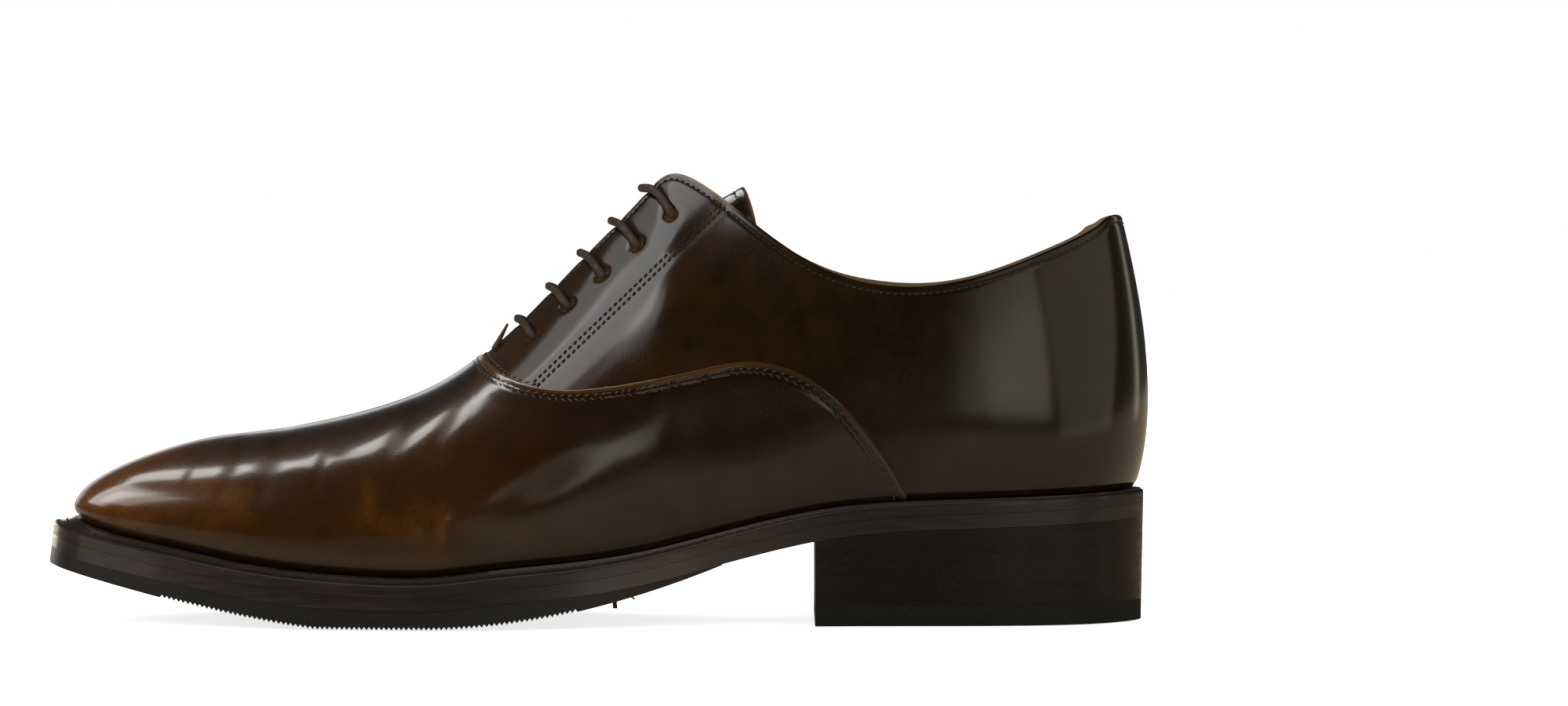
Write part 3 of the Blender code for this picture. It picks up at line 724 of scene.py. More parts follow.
fleshFinish = {
    "burnish": {
        "Pale": (0.19, 0.105, 0.06, 1), "Middle": (0.11, 0.06, 0.034, 1), "Dark": (0.05, 0.028, 0.017, 1),
        "Cloud mm": 6.0, "Fleck mm": 0.4, "Flecks": 0.5,
    },
    "shader": {"Roughness": 0.85}, "relief": (0.5, 0.3),
}


def fleshSide():
    material, tree, shader = newMaterial("leatherFlesh", fleshFinish["shader"])
    tone = place(tree, handBurnish, fleshFinish["burnish"])
    feed(tree, shader["Base Color"], tone["Color"])
    bump(tree, shader, tone["Worn tone"], *fleshFinish["relief"])
    return material


liningFinish = {
    "burnish": {
        "Pale": (0.40, 0.255, 0.155, 1), "Middle": (0.27, 0.165, 0.095, 1), "Dark": (0.14, 0.082, 0.046, 1),
        "Tone": 0.42, "Cloud mm": 18.0, "Clouding": 0.5,
    },
    "grain": {"Cell mm": 1.1, "Pores": 0.7}, "roughness": 0.58, "rough": 0.15, "relief": (0.3, 0.15),
}


def liningLeather():
    material, tree, shader = newMaterial("liningLeather", {})
    colour = place(tree, handBurnish, liningFinish["burnish"])["Color"]
    grain = place(tree, hideGrain, liningFinish["grain"])["Height"]
    dress(tree, shader, liningFinish, colour, grain, liningFinish["roughness"])
    return material


soleFinish = {
    "burnish": {
        "Pale": (0.034, 0.0185, 0.0135, 1), "Middle": (0.016, 0.0105, 0.008, 1),
        "Dark": (0.007, 0.0046, 0.0034, 1), "Cloud mm": 9.0,
    },
    "dust": (0.16, 0.14, 0.12, 1), "dusty": 0.05, "shader": {"Coat Roughness": 0.16}, "rough": 0.16,
    "streakBump": 0.65, "depthMm": 0.12,
}


def dusted(tree, finish, streaks, colour):
    share = maths(tree, "MULTIPLY", streaks["Speck"], finish["dusty"])
    return mixColours(tree, share, colour, finish["dust"])


def soleLeather(name, tone, roughness, coat, specular=0.18, streaky=0.34):
    own = {"Coat Weight": coat, "Specular IOR Level": specular}
    material, tree, shader = newMaterial(name, soleFinish["shader"] | own)
    streaks = place(tree, edgeStreak, {})
    # the painted tone brings in the painted light and shade along the sole
    along = maths(tree, "ADD", painted(tree, "tone"), tone)
    shade = maths(tree, "MULTIPLY_ADD", streaks["Streak"], -streaky, along)
    rubbed = place(tree, handBurnish, soleFinish["burnish"] | {"Tone": shade})
    colour = dusted(tree, soleFinish, streaks, rubbed["Color"])
    relief = {"relief": (soleFinish["streakBump"] * streaky, soleFinish["depthMm"])}
    dress(tree, shader, soleFinish | relief, colour, streaks["Streak"], roughness)
    return material


rubberFinish = {
    "burnish": {
        "Pale": (0.021, 0.0184, 0.0138, 1), "Middle": (0.0108, 0.0094, 0.007, 1),
        "Dark": (0.005, 0.0043, 0.0032, 1), "Cloud mm": 7.0, "Fleck mm": 0.35, "Flecks": 0.5,
    },
    "shader": {"Specular IOR Level": 0.2}, "dust": (0.12, 0.115, 0.1, 1), "dusty": 0.08,
    "streaks": {"Streak mm": 0.8}, "waist": (-0.014, 0.004), "roughness": 0.4, "rough": 0.3,
    "relief": (0.25, 0.15),
}


def soleRubber(name, shade, dressed=False):
    material, tree, shader = newMaterial(name, rubberFinish["shader"])
    tone = place(tree, handBurnish, rubberFinish["burnish"] | {"Tone": shade})
    colour = dusted(tree, rubberFinish, place(tree, edgeStreak, rubberFinish["streaks"]), tone["Color"])
    if dressed:  # the edge dressing runs over the rubber at the waist
        waist = spread(tree, alongShoe(tree), *rubberFinish["waist"])
        colour = mixColours(tree, waist, colour, soleFinish["burnish"]["Middle"])
    dress(tree, shader, rubberFinish, colour, tone["Worn tone"], rubberFinish["roughness"])
    return material


threadFinish = {
    "burnish": {"Cloud mm": 2.5, "Clouding": 1.2, "Fleck mm": 0.2, "Flecks": 0.8},
    "shader": {"Specular IOR Level": 0.25}, "fade": (-0.03, 0.09), "rough": 0.2, "relief": (0.4, 0.08),
}


def threadMaterial(name, pale, dark, roughness, darker=0.0):
    # darker is how far the thread loses its colour from the throat to the heel
    material, tree, shader = newMaterial(name, threadFinish["shader"])
    shade = 0.5
    if darker:
        shade = spread(tree, alongShoe(tree), *threadFinish["fade"], 0.5 - darker / 2, 0.5 + darker / 2)
    middle = tuple((a + b) / 2 for a, b in zip(pale, dark))
    colours = {"Pale": pale, "Middle": middle, "Dark": dark}
    tone = place(tree, handBurnish, threadFinish["burnish"] | colours | {"Tone": shade})
    dress(tree, shader, threadFinish, tone["Color"], tone["Worn tone"], roughness)
    return material


materials = {
    "upper": upperLeather(),
    "flesh": fleshSide(),
    "lining": liningLeather(),
    "welt": soleLeather("weltLeather", 0.62, 0.42, 0.12),
    "midsole": soleLeather("midsoleLeather", 0.6, 0.38, 0.15),
    "heel": soleLeather("heelLeather", 0.66, 0.26, 0.12, 0.04, 0.14),
    "outsole": soleRubber("outsoleRubber", 0.5, dressed=True),
    "topPiece": soleRubber("topPieceRubber", 1.0),
    "amberThread": threadMaterial(
        "amberThread", (0.115, 0.066, 0.036, 1), (0.034, 0.021, 0.012, 1), 0.55, darker=0.6
    ),
    "darkThread": threadMaterial("darkThread", (0.034, 0.02, 0.013, 1), (0.009, 0.006, 0.0045, 1), 0.55),
    "lace": threadMaterial("waxedLace", (0.075, 0.05, 0.036, 1), (0.017, 0.011, 0.008, 1), 0.42),
}
print("materials made:", len(materials))

# Tone of the upper, from 0, amber, to 1, nearly black: along the shoe, then soft spots (mm)
toneAlong = openCurve(
    (-158, -140, -120, -95, -70, -45, -20, 10, 45, 80, 120, 160),
    (0.15, 0.22, 0.36, 0.46, 0.49, 0.53, 0.68, 0.82, 0.88, 0.95, 1.0, 1.0),
)
toneSpots = (  # x, z, reach along, reach up, change
    (-107.0, 33.5, 12.0, 9.0, -0.14),
    (-97.0, 32.0, 4.0, 6.0, -0.08),
    (-93.0, 37.0, 8.0, 10.0, 0.06),
    (-85.5, 35.0, 8.0, 8.0, 0.12),
    (-73.5, 35.0, 6.0, 10.0, 0.12),
    (-61.5, 36.0, 3.5, 6.0, -0.14),
    (-56.5, 37.5, 4.0, 8.0, 0.10),
    (-53.0, 27.0, 13.0, 6.0, -0.15),
    (-47.5, 33.5, 6.0, 7.0, -0.05),
    (-40.5, 46.0, 4.0, 6.0, -0.14),
    (-36.5, 21.5, 6.0, 5.0, 0.12),
    (-35.0, 40.5, 4.0, 6.0, -0.10),
    (-20.0, 39.0, 8.0, 5.0, -0.10),
    # a painted highlight, paler along the crease ridge beside it
    (-41.5, 28.0, 1.6, 5.0, -0.26),
    (-112.0, 29.0, 14.0, 5.0, 0.14),
    (-88.0, 24.5, 16.0, 5.0, 0.14),
    (-60.0, 22.5, 16.0, 5.0, 0.14),
)
ridgeTone = {"dark": 0.42, "from": 13.0, "to": 2.0, "frontX": -128.0, "backX": -92.0}
# Painted shade above the welt, deepest in the crevice where the wall turns in
footShade = ((0.08, 6.0), (0.6, 2.2))  # above the welt: how dark, reach in mm
noRidge = 200.0  # a height above every ridge


# the upper's burnished tone, with painted shade above the welt and a painted highlight on one crease
def burnishAndPaintedLight(points, w, topZ):
    x, z = points[..., 0], points[..., 2]
    tone = toneAlong(x)
    ridge = fade(ridgeTone["to"], ridgeTone["from"], topZ - z)
    tone = tone + ridgeTone["dark"] * ridge * smoothStep(ridgeTone["frontX"], ridgeTone["backX"], x)
    # painted shade where the wall turns in above the welt
    for dark, reach in footShade:
        tone = tone + dark * bell(z - footPoint(w)[..., 2], reach)
    for spotX, spotZ, along, up, change in toneSpots:
        tone = tone + change * bell(x - spotX, along) * bell(z - spotZ, up)
    return np.clip(tone, 0, 1)


# Where the polish is rubbed off, in the creases: x, z, slope in degrees, half length, half width (mm), share
mattSpots = (
    (-115.0, 39.5, 60, 4.0, 1.3, 1.0),
    (-102.3, 43.0, 80, 7.0, 2.4, 1.0),
    (-91.5, 43.0, 80, 8.0, 3.9, 1.0),
    (-76.5, 43.0, 75, 6.0, 1.8, 1.0),
    (-71.9, 47.4, 5, 4.5, 2.0, 1.0),
    (-54.7, 51.5, 65, 8.0, 3.4, 1.0),
    (-41.7, 54.5, 60, 8.0, 2.3, 1.0),
    (-16.0, 41.0, 28, 17.0, 9.0, 0.86),
    (38.0, 58.0, 5, 27.0, 13.0, 1.0),
)
# and above the welt
mattFoot = {"z": (25.0, 37.0), "rise": (3.0, 9.0), "x": (-42.0, -24.0), "most": 0.65}
# and on the quarter, between a line beside the facing and one in front of the heel: x, z, slope in degrees
mattQuarter = {
    "facing": (-17.2, 66.6, 43.9), "facingFade": (7.0, 13.0),
    "heel": (75.9, 51.0, 55.0), "heelFade": (-6.0, 22.0), "most": 0.85,
}


def slanted(points, atX, atZ, slope):
    # distances in mm along and across a slanting line on the shoe's side
    turn = math.radians(slope)
    x, z = points[..., 0] - atX, points[..., 2] - atZ
    return x * math.cos(turn) + z * math.sin(turn), z * math.cos(turn) - x * math.sin(turn)


def mattVamp(points, rise):
    matt = mattFoot["most"] * fade(*mattFoot["x"], points[..., 0]) * fade(*mattFoot["z"], points[..., 2])
    matt = matt * smoothStep(*mattFoot["rise"], rise)
    for atX, atZ, slope, half, width, most in mattSpots:
        along, across = slanted(points, atX, atZ, slope)
        matt = np.maximum(matt, most * np.exp(-(((along / half) ** 2 + (across / width) ** 2) ** 2)))
    return matt


def mattSide(points):
    _, facing = slanted(points, *mattQuarter["facing"])
    _, heel = slanted(points, *mattQuarter["heel"])
    return (
        mattQuarter["most"] * smoothStep(*mattQuarter["facingFade"], -facing)
        * fade(*mattQuarter["heelFade"], -heel)
    )


# Upper
upperFaces = ("upper", "flesh", "upper")  # outside, inside, cut edge
vampSetup = {
    "spacing": 1.0, "evenRows": 60, "step": 0.9, "edgeRoll": 0.8, "endRise": 0.8, "lap": 10.0, "lapFade": 3.0,
    "edgeRows": (
        0, 0.1, 0.25, 0.45, 0.7, 1.0, 1.3, 1.55, 1.75, 1.95, 2.25, 2.6, 2.95, 3.2, 3.45, 3.8, 4.4, 5.2, 6.0,
    ),
    "seams": (2.1, 3.4), "seam": (0.14, 0.4), "thirdRow": 0.9, "thirdRowEnd": -16.5,
    "under": 0.04, "underDrop": 0.85, "thinnest": 0.35, "crownX": 40.0, "lineStep": 0.15, "edgePoints": 400,
    "creaseFromEdge": (2.0, 9.0), "creaseFromFoot": (1.0, 8.0),
    "rubbed": (0.9, 1.9), "rubbedMost": 0.8, "rubbedLoss": 0.5, "rubbedLossX": (30.0, 65.0),
    "ridge": (1.0, 9.0), "ridgeX": (-148.0, -122.0), "ridgeEase": 40,
}
# Creases as soft ridges and troughs seen from the side:
# side (-1 lateral, 1 medial), x, z, slope in degrees, half length, half width, height, all in mm
creases = (
    (-1, -102.3, 43.0, 80, 8.0, 2.0, -0.15),
    (-1, -91.5, 43.0, 80, 9.0, 3.0, -0.25),
    (-1, -84.0, 42.5, 5, 5.0, 3.0, 0.10),
    (-1, -76.5, 43.0, 75, 7.0, 2.2, -0.18),
    (-1, -66.0, 47.0, 35, 7.0, 3.5, 0.15),
    (-1, -54.7, 51.5, 65, 9.0, 3.0, -0.30),
    (-1, -41.7, 54.5, 60, 9.0, 2.6, -0.30),
    (-1, -28.0, 59.0, 42, 9.0, 5.0, -0.35),
    (-1, -41.5, 27.0, 105, 9.0, 2.6, 0.45),
    (-1, -46.0, 29.0, 100, 10.0, 3.0, -0.40),
    (-1, -4.0, 52.0, 15, 11.0, 6.5, 0.25),
    (-1, -14.0, 40.0, 35, 16.0, 5.0, -0.45),
    (1, -92.0, 43.0, 70, 10.0, 3.4, -0.35),
    (1, -82.0, 43.0, 20, 7.0, 3.4, 0.35),
    (1, -70.0, 45.0, 65, 11.0, 4.0, -0.45),
    (1, -60.0, 49.0, 35, 8.0, 4.0, 0.40),
    (1, -48.0, 50.0, 70, 11.0, 4.0, -0.45),
    (1, -34.0, 54.0, 30, 9.0, 4.5, 0.45),
    (1, -18.0, 44.0, 45, 14.0, 5.0, -0.40),
)


def creaseRelief(points, w):
    relief = np.zeros(points.shape[:-1])
    for side, atX, atZ, slope, half, width, height in creases:
        along, across = slanted(points, atX, atZ, slope)
        relief += np.where(np.sign(w) == side, height * bell(along, half) * bell(across, width), 0.0)
    return relief


def seamGroove(distance, seams, depth, width):
    return -depth * sum(bell(distance - seam, width) for seam in seams)


def rolledEdge(distance, roll):
    # a cut edge rounded off over the last part of the sheet
    short = np.clip(roll - distance, 0, roll)
    return np.sqrt(np.clip(roll**2 - short**2, 0, None)) - roll


crevice = {"depth": 0.6, "reach": 1.3}  # above the welt, where the wall turns in


def wallGrid(stations, low, high, setup):
    # the wall's points and normals under a sheet, with its stations and each point's rise above the foot
    v = wallRows(stations, low, high, setup["edgeRows"], setup["evenRows"])
    w = np.broadcast_to(stations, v.shape)
    base = wallPoint(w, v)
    return w, base, wallNormal(w, v), base[..., 2] - footPoint(w)[..., 2]


def raised(base, normals, lift):
    return base + normals * np.asarray(lift)[..., None]


def edgeLine(w, v, side):
    # an edge with the wall's normals and the way into the sheet
    line, normals = wallPoint(w, v), wallNormal(w, v)
    ahead = unit(np.gradient(line, axis=0))
    return line, normals, unit(np.cross(normals, ahead)) * side


tailStation = vampTail(vampSetup["endRise"])
vampEdgeStations = np.concatenate([  # closer together round the throat
    np.linspace(throatStation, throatStation + 1, samples["throat"])[:-1],
    np.linspace(throatStation + 1, tailStation, vampSetup["edgePoints"]),
])


def vampEdgeLine(side):
    w = side * vampEdgeStations
    line, normals, inward = edgeLine(w, np.array([vampShare(x) for x in w]), side)
    upward = (inward[:, 2:] > 0) & (line[:, :1] < vampSetup["crownX"])
    return line, normals, np.where(upward, -inward, inward)


def joinRidge(grids, stations):
    # both sides share the ridge in front of the throat
    joined = np.abs(stations) <= throatStation + 1e-6
    for grid in grids:
        grid[0, joined] = ((grid[0] + grid[0, ::-1]) / 2)[joined]
    return joined


def addVamp():
    stations = bothSides(np.union1d(evenStations(0, tailStation, vampSetup["spacing"]), [throatStation]))
    share = np.array([vampShare(w) for w in stations])
    w, base, normals, rise = wallGrid(stations, np.zeros_like(share), share, vampSetup)
    x = base[..., 0]
    edges = np.concatenate([refine(vampEdgeLine(side)[0], vampSetup["lineStep"]) for side in (-1, 1)])
    fromEdge = nearness(base, edges)
    lift = vampSetup["step"] + rolledEdge(fromEdge, vampSetup["edgeRoll"])
    lift = lift - crevice["depth"] * bell(rise, crevice["reach"])
    lift = lift + seamGroove(fromEdge, vampSetup["seams"], *vampSetup["seam"])
    creased = creaseRelief(base, w) * smoothStep(*vampSetup["creaseFromEdge"], fromEdge)
    lift = lift + creased * smoothStep(*vampSetup["creaseFromFoot"], rise)
    past = smoothStep(vampSetup["lap"], vampSetup["lap"] + vampSetup["lapFade"], fromEdge)
    under = vampSetup["under"] - vampSetup["underDrop"] * past
    outer = raised(base, normals, lift)
    inner = raised(base, normals, np.minimum(under, lift - vampSetup["thinnest"]))
    joined = joinRidge((outer, inner), stations)
    front = np.abs(w) <= throatStation
    rubbed = vampSetup["rubbedMost"] - vampSetup["rubbedLoss"] * smoothStep(*vampSetup["rubbedLossX"], x)
    ridge = fade(*vampSetup["ridge"], np.abs(base[..., 1] - wall["ridgeY"](w)))
    fields = {
        "tone": burnishAndPaintedLight(base, w, np.where(front, topPoint(w)[..., 2], noRidge)),
        "rubbed": fade(*vampSetup["rubbed"], fromEdge) * rubbed,
        "matt": mattVamp(base, rise),
        "ridge": ridge * (np.abs(w) < throatStation) * smoothStep(*vampSetup["ridgeX"], x),
    }
    mesh = leatherShell("vamp", outer, inner, fields, joinedTop=joined)
    smoothRidge(addPiece(mesh, upperFaces, ["upper"], "vamp"))


def smoothRidge(piece):
    # the two sides' curves meet at the ridge with a faint fold, which the last takes out
    mesh = piece.data
    weights = np.zeros(len(mesh.vertices), np.float32)
    mesh.attributes["ridge"].data.foreach_get("value", weights)
    group = piece.vertex_groups.new(name="ridge")
    for i in np.nonzero(weights > 0.01)[0]:
        group.add([int(i)], float(weights[i]), "REPLACE")
    ease = piece.modifiers.new("ridge", "SMOOTH")
    ease.vertex_group, ease.factor, ease.iterations = "ridge", 0.5, vampSetup["ridgeEase"]


laceSetup = {
    "rows": 5, "radius": 1.15, "lift": 0.02, "holeRadius": 1.7, "dent": 0.4, "dentReach": 1.5,
    "dimple": 0.4, "dimpleReach": 1.0, "holeRubbed": 0.7, "edgeStations": 5,
    "firstX": -22.5, "lastX": 13.3, "firstReach": 5.3, "lastReach": 9.7, "slope": 46.0,
}


def lacePlace(row, side):
    # where a bar leaves its hole and where it crosses the lacing edge, as stations and heights
    share = row / (laceSetup["rows"] - 1)
    edgeX = laceSetup["lastX"] + (laceSetup["firstX"] - laceSetup["lastX"]) * share
    reach = laceSetup["lastReach"] + (laceSetup["firstReach"] - laceSetup["lastReach"]) * share
    w = np.linspace(throatStation, throatStation + laceSetup["edgeStations"], samples["edge"] + 1)
    edgeW = side * float(np.interp(edgeX, wall["topX"](w), w))
    edgeZ = topPoint(edgeW)[2]
    slope = math.radians(laceSetup["slope"])
    hole = locate(edgeX + reach * math.sin(slope), edgeZ - reach * math.cos(slope), side)
    return hole, (edgeW, 1.0)


quarterSetup = {
    "spacing": 0.75, "evenRows": 84, "thickness": 0.9, "thinnest": 0.25, "edgeRoll": 0.7, "lap": 10.0,
    "lapPoints": 201,
    "edgeRows": (0, 0.06, 0.16, 0.32, 0.55, 0.85, 1.2, 1.55, 1.85, 2.1, 2.35, 2.65, 3.1, 3.7, 4.4),
    "edgeSeam": 2.2, "seam": (0.2, 0.45), "rowStart": 0.15, "backSeam": (0.35, 0.8),
    "facingSeam": ((-17.2, 66.6), (35.2, 117.0)), "facingSeamApart": 1.5, "facingChannel": (0.14, 1.3),
    "threadDepth": 0.02, "lineStep": 0.15, "facingStep": 0.2,
    "raw": (0.4, 0.9), "rawMost": 0.9, "rawFrontX": (-20.0, -10.0), "rawBackX": (33.0, 42.0),
}


def facingSeamLine(side, offset):
    # one of the two rows that hold the facing, from the vamp's edge up to the collar
    start, end = np.array(quarterSetup["facingSeam"])
    ahead = unit(end - start)
    found = []
    for share in np.linspace(0, 1, samples["seam"]):
        x, z = start + (end - start) * share + offset * np.array([ahead[1], -ahead[0]])
        found.append(locate(x, z, side))
    w, v = np.array(found).T
    return wallPoint(w, v), wallNormal(w, v)


def topEdgeLine(side, first):
    return edgeLine(side * np.linspace(first, heelStation, samples["edge"]), 1.0, side)


facingSeams = {
    side: [facingSeamLine(side, quarterSetup["facingSeamApart"] * k) for k in (-0.5, 0.5)] for side in (-1, 1)
}


def addQuarter(name, side):
    stations = side * evenStations(throatStation, heelStation, quarterSetup["spacing"])
    low = []
    rising = np.linspace(0, 1, quarterSetup["lapPoints"])
    for w in stations:  # the quarter ends a lap's width under the vamp
        length = arcLength(wallPoint(np.full_like(rising, w), rising))
        covered = np.interp(vampShare(w), rising, length)
        low.append(np.interp(max(covered - quarterSetup["lap"], 0), length, rising))
    w, base, normals, rise = wallGrid(stations, np.array(low), np.ones(len(stations)), quarterSetup)
    fromTop = nearness(base, refine(topEdgeLine(side, throatStation)[0], quarterSetup["lineStep"]))
    seamLine = np.concatenate([refine(line, quarterSetup["facingStep"]) for line, _ in facingSeams[side]])
    lift = rolledEdge(fromTop, quarterSetup["edgeRoll"])
    lift = lift - crevice["depth"] * bell(rise, crevice["reach"])
    lift = lift + seamGroove(fromTop, [quarterSetup["edgeSeam"]], *quarterSetup["seam"])
    lift = lift + seamGroove(nearness(base, seamLine), [0.0], *quarterSetup["facingChannel"])
    atBack = np.abs(w) > heelStation - 1
    lift = lift + seamGroove(base[..., 1], [0.0], *quarterSetup["backSeam"]) * atBack
    outer = raised(base, normals, lift)
    inner = raised(base, normals, np.minimum(-quarterSetup["thickness"], lift - quarterSetup["thinnest"]))
    punched, brink = punchHoles(side, base, normals, (outer, inner))
    x = base[..., 0]
    window = smoothStep(*quarterSetup["rawFrontX"], x) * fade(*quarterSetup["rawBackX"], x)
    fields = {
        "tone": burnishAndPaintedLight(base, w, noRidge),
        "rubbed": np.where(brink, laceSetup["holeRubbed"], 0.0),
        "matt": mattSide(base),
        "raw": quarterSetup["rawMost"] * fade(*quarterSetup["raw"], fromTop) * window,
    }
    addPiece(leatherShell(name, outer, inner, fields, holes=punched), upperFaces)


def punchHoles(side, base, normals, grids):
    # cells cut out for the lace holes; the points round them are drawn to the hole's edge and sunk,
    # and the leather is dented under each bar
    punched = np.zeros((base.shape[0] - 1, base.shape[1] - 1), bool)
    brink = np.zeros(base.shape[:2], bool)
    radius = laceSetup["holeRadius"]
    for row in range(laceSetup["rows"]):
        hole, edge = lacePlace(row, side)
        away, axis = base - wallPoint(*hole), wallNormal(*hole)
        flat = away - (away @ axis)[..., None] * axis
        reach = np.linalg.norm(flat, axis=-1)
        cells = (flat[:-1, :-1] + flat[1:, :-1] + flat[:-1, 1:] + flat[1:, 1:]) / 4
        inHole = np.linalg.norm(cells, axis=-1) < radius
        punched |= inHole
        touched = np.zeros(reach.shape, int)
        for dr in (0, 1):
            for dc in (0, 1):
                touched[dr : dr + inHole.shape[0], dc : dc + inHole.shape[1]] += inHole
        border = (touched > 0) & (touched < 4)
        brink |= border
        pull = np.where(border, radius / np.maximum(reach, 0.01), 1.0)[..., None]
        dimple = laceSetup["dimple"] * bell(reach - radius, laceSetup["dimpleReach"])
        under = wallPoint(*(np.linspace(a, b, samples["bar"]) for a, b in zip(hole, edge)))
        dent = laceSetup["dent"] * bell(nearness(base, under), laceSetup["dentReach"])
        for grid in grids:
            grid += flat * (pull - 1) - axis * dimple[..., None] - normals * dent[..., None]
    return punched, brink


liningSetup = {
    "spacing": 2.0, "outer": -0.95, "inner": -1.7, "roll": 0.35, "evenRows": 36,
    "edgeRows": (0, 0.2, 0.5, 1.0, 1.8, 3.0),
}


def addLining():
    stations = bothSides(np.union1d(evenStations(0, heelStation, liningSetup["spacing"]), [throatStation]))
    ones = np.ones(len(stations))
    w, base, normals, _ = wallGrid(stations, 0 * ones, ones, liningSetup)
    roll = np.where(np.abs(w) > throatStation, rolledEdge(arcLength(base), liningSetup["roll"]), 0.0)
    outer = raised(base, normals, liningSetup["outer"] + roll)
    inner = raised(base, normals, liningSetup["inner"])
    joined = joinRidge((outer, inner), stations)
    for grid in (outer, inner):  # and the back seam
        grid[:, 0] = grid[:, -1] = (grid[:, 0] + grid[:, -1]) / 2
    mesh = leatherShell("lining", outer, inner, joinedTop=joined)
    addPiece(mesh, ("flesh", "lining", "lining"))


addVamp()
addQuarter("quarterLateral", -1)
addQuarter("quarterMedial", 1)
addLining()
print("upper made")

# Stitching: pitch, length and radius of the thread in mm, lift of its middle and sink of its ends
vampThread = {"pitch": 2.5, "length": 1.75, "radius": 0.22, "lift": 0.08, "sink": 0.3, "slant": 30.0}
quarterThread = {"pitch": 1.95, "length": 1.62, "radius": 0.28, "lift": 0.08, "sink": 0.3, "slant": 11.0}


def addThread(name, rows, thread, group="quarter"):
    addPiece(joinTubes(name, rows), [thread], group=group)


def addStitching():
    vampRows, facingRows, edgeRows = [], [], []
    for side in (-1, 1):
        line, normals, inward = vampEdgeLine(side)
        lift = vampSetup["step"] - vampSetup["seam"][0]
        for seam, lean in zip(vampSetup["seams"], (1, -1)):  # the two rows lean towards each other
            thread = vampThread | {"slant": lean * vampThread["slant"]}
            vampRows += stitchTubes(line + inward * seam + normals * lift, normals, thread)
        short = line[:, 0] < vampSetup["thirdRowEnd"]  # a third, on the quarter beside the vamp's edge
        third = line - inward * vampSetup["thirdRow"]
        vampRows += stitchTubes(third[short], normals[short], vampThread)
        for line, normals in facingSeams[side]:
            facingRows += stitchTubes(line - normals * quarterSetup["threadDepth"], normals, quarterThread)
        line, normals, inward = topEdgeLine(side, throatStation + quarterSetup["rowStart"])
        row = line + inward * quarterSetup["edgeSeam"] - normals * quarterSetup["seam"][0]
        edgeRows += stitchTubes(row, normals, quarterThread)
    addThread("vampStitches", vampRows, "amberThread", "vamp")
    addThread("facingStitches", facingRows, "darkThread")
    addThread("collarStitches", edgeRows, "darkThread")


addStitching()
print("stitching made")

# Laces
braidSetup = {"strands": 5, "twistMm": 4.2, "relief": 0.07, "middle": 0.6, "sides": 24, "ringMm": 0.3}
# from a hole to the lacing edge: share of the way, and lift in mm where the lace isn't yet on the leather
laceShares = np.concatenate([[0.0, 0.0, 0.03, 0.16], np.linspace(0.34, 1.0, 6)])
laceRise = (-1.9, -0.7, 0.55)
laceSlack = 0.05


def braidRelief(turn, length):
    twist = 2 * math.pi * length / braidSetup["twistMm"]
    strands = braidSetup["strands"] * turn
    over = np.maximum(np.sin(strands + twist), np.sin(strands - twist))
    return 1 + braidSetup["relief"] * (over - braidSetup["middle"])


def laceRoute(row):
    onLeather = laceSetup["radius"] + laceSetup["lift"]
    lift = np.full(len(laceShares), onLeather + laceSlack)
    lift[: len(laceRise) + 1] = *laceRise, onLeather
    halves = []
    for side in (-1, 1):
        w, v = (a + (b - a) * laceShares for a, b in zip(*lacePlace(row, side)))
        halves.append(raised(wallPoint(w, v), wallNormal(w, v), lift))
    lateral, medial = halves
    return np.concatenate([lateral, medial[::-1]])


def smoothRoute(points, spacing):
    length = arcLength(points)
    count = int(length[-1] / spacing)
    places = np.linspace(0, length[-1], count + 1)
    return np.stack([openCurve(length, points[:, k])(places) for k in range(3)], axis=-1)


def addLaces():
    for row in range(laceSetup["rows"]):
        name = f"lace{row + 1}"
        route = smoothRoute(laceRoute(row), braidSetup["ringMm"])
        points, faces = tubeMesh(route, laceSetup["radius"], braidSetup["sides"], braidRelief)
        addPiece(finishMesh(name, points, faces), ["lace"], [f"lace_bar_{row + 1}"])


addLaces()
print("laces made")

# Tongue: centre line, arch and half width in mm, from its sewn end to its tip
tongueTable = np.array([
    (-47.0, 62.6, 40.0, 22.0),
    (-34.0, 70.3, 34.0, 23.0),
    (-20.0, 81.6, 26.0, 24.0),
    (-5.0, 94.7, 20.0, 24.5),
    (8.0, 104.7, 17.0, 24.0),
    (17.0, 109.8, 15.8, 23.5),
    (26.0, 114.4, 15.4, 23.0),
    (34.0, 118.6, 15.2, 22.5),
    (40.5, 122.3, 15.2, 22.0),
])
tongueSetup = {
    "thickness": 2.0, "along": 120, "across": 60, "roll": 0.8, "innerRoll": 0.4, "halfMm": 22.0,
    "seamFromTip": 3.2, "seam": (0.2, 0.5), "seamTurn": 0.96, "seamBack": 0.4, "seamPoints": 160,
    "tipRound": 0.45, "tipPower": 2.5, "tipPoints": 200, "tone": 0.72, "tipTone": (0.1, 14.0),
    "rubbed": (0.6, 2.0), "rubbedMost": 0.3, "raw": (0.2, 0.6), "rawMost": 0.6,
}


def tongueFace(row, turnShare, step=0.02):
    rows = np.arange(len(tongueTable))
    x, z, radius, half = (openCurve(rows, tongueTable[:, k]) for k in range(4))
    turn = turnShare * half(row) / radius(row)
    ahead, behind = np.minimum(row + step, rows[-1]), np.maximum(row - step, 0)
    dx, dz = x(ahead) - x(behind), z(ahead) - z(behind)
    length = np.hypot(dx, dz)
    dx, dz = dx / length, dz / length
    sink = radius(row) * (1 - np.cos(turn))
    points = np.stack([x(row) + sink * dz, radius(row) * np.sin(turn), z(row) - sink * dx], axis=-1)
    normals = np.stack([-np.cos(turn) * dz, np.sin(turn), np.cos(turn) * dx], axis=-1)
    return points, normals


def tongueTip(turn):
    # the tip is rounded off towards its sides
    return len(tongueTable) - 1 - tongueSetup["tipRound"] * np.abs(turn) ** tongueSetup["tipPower"]


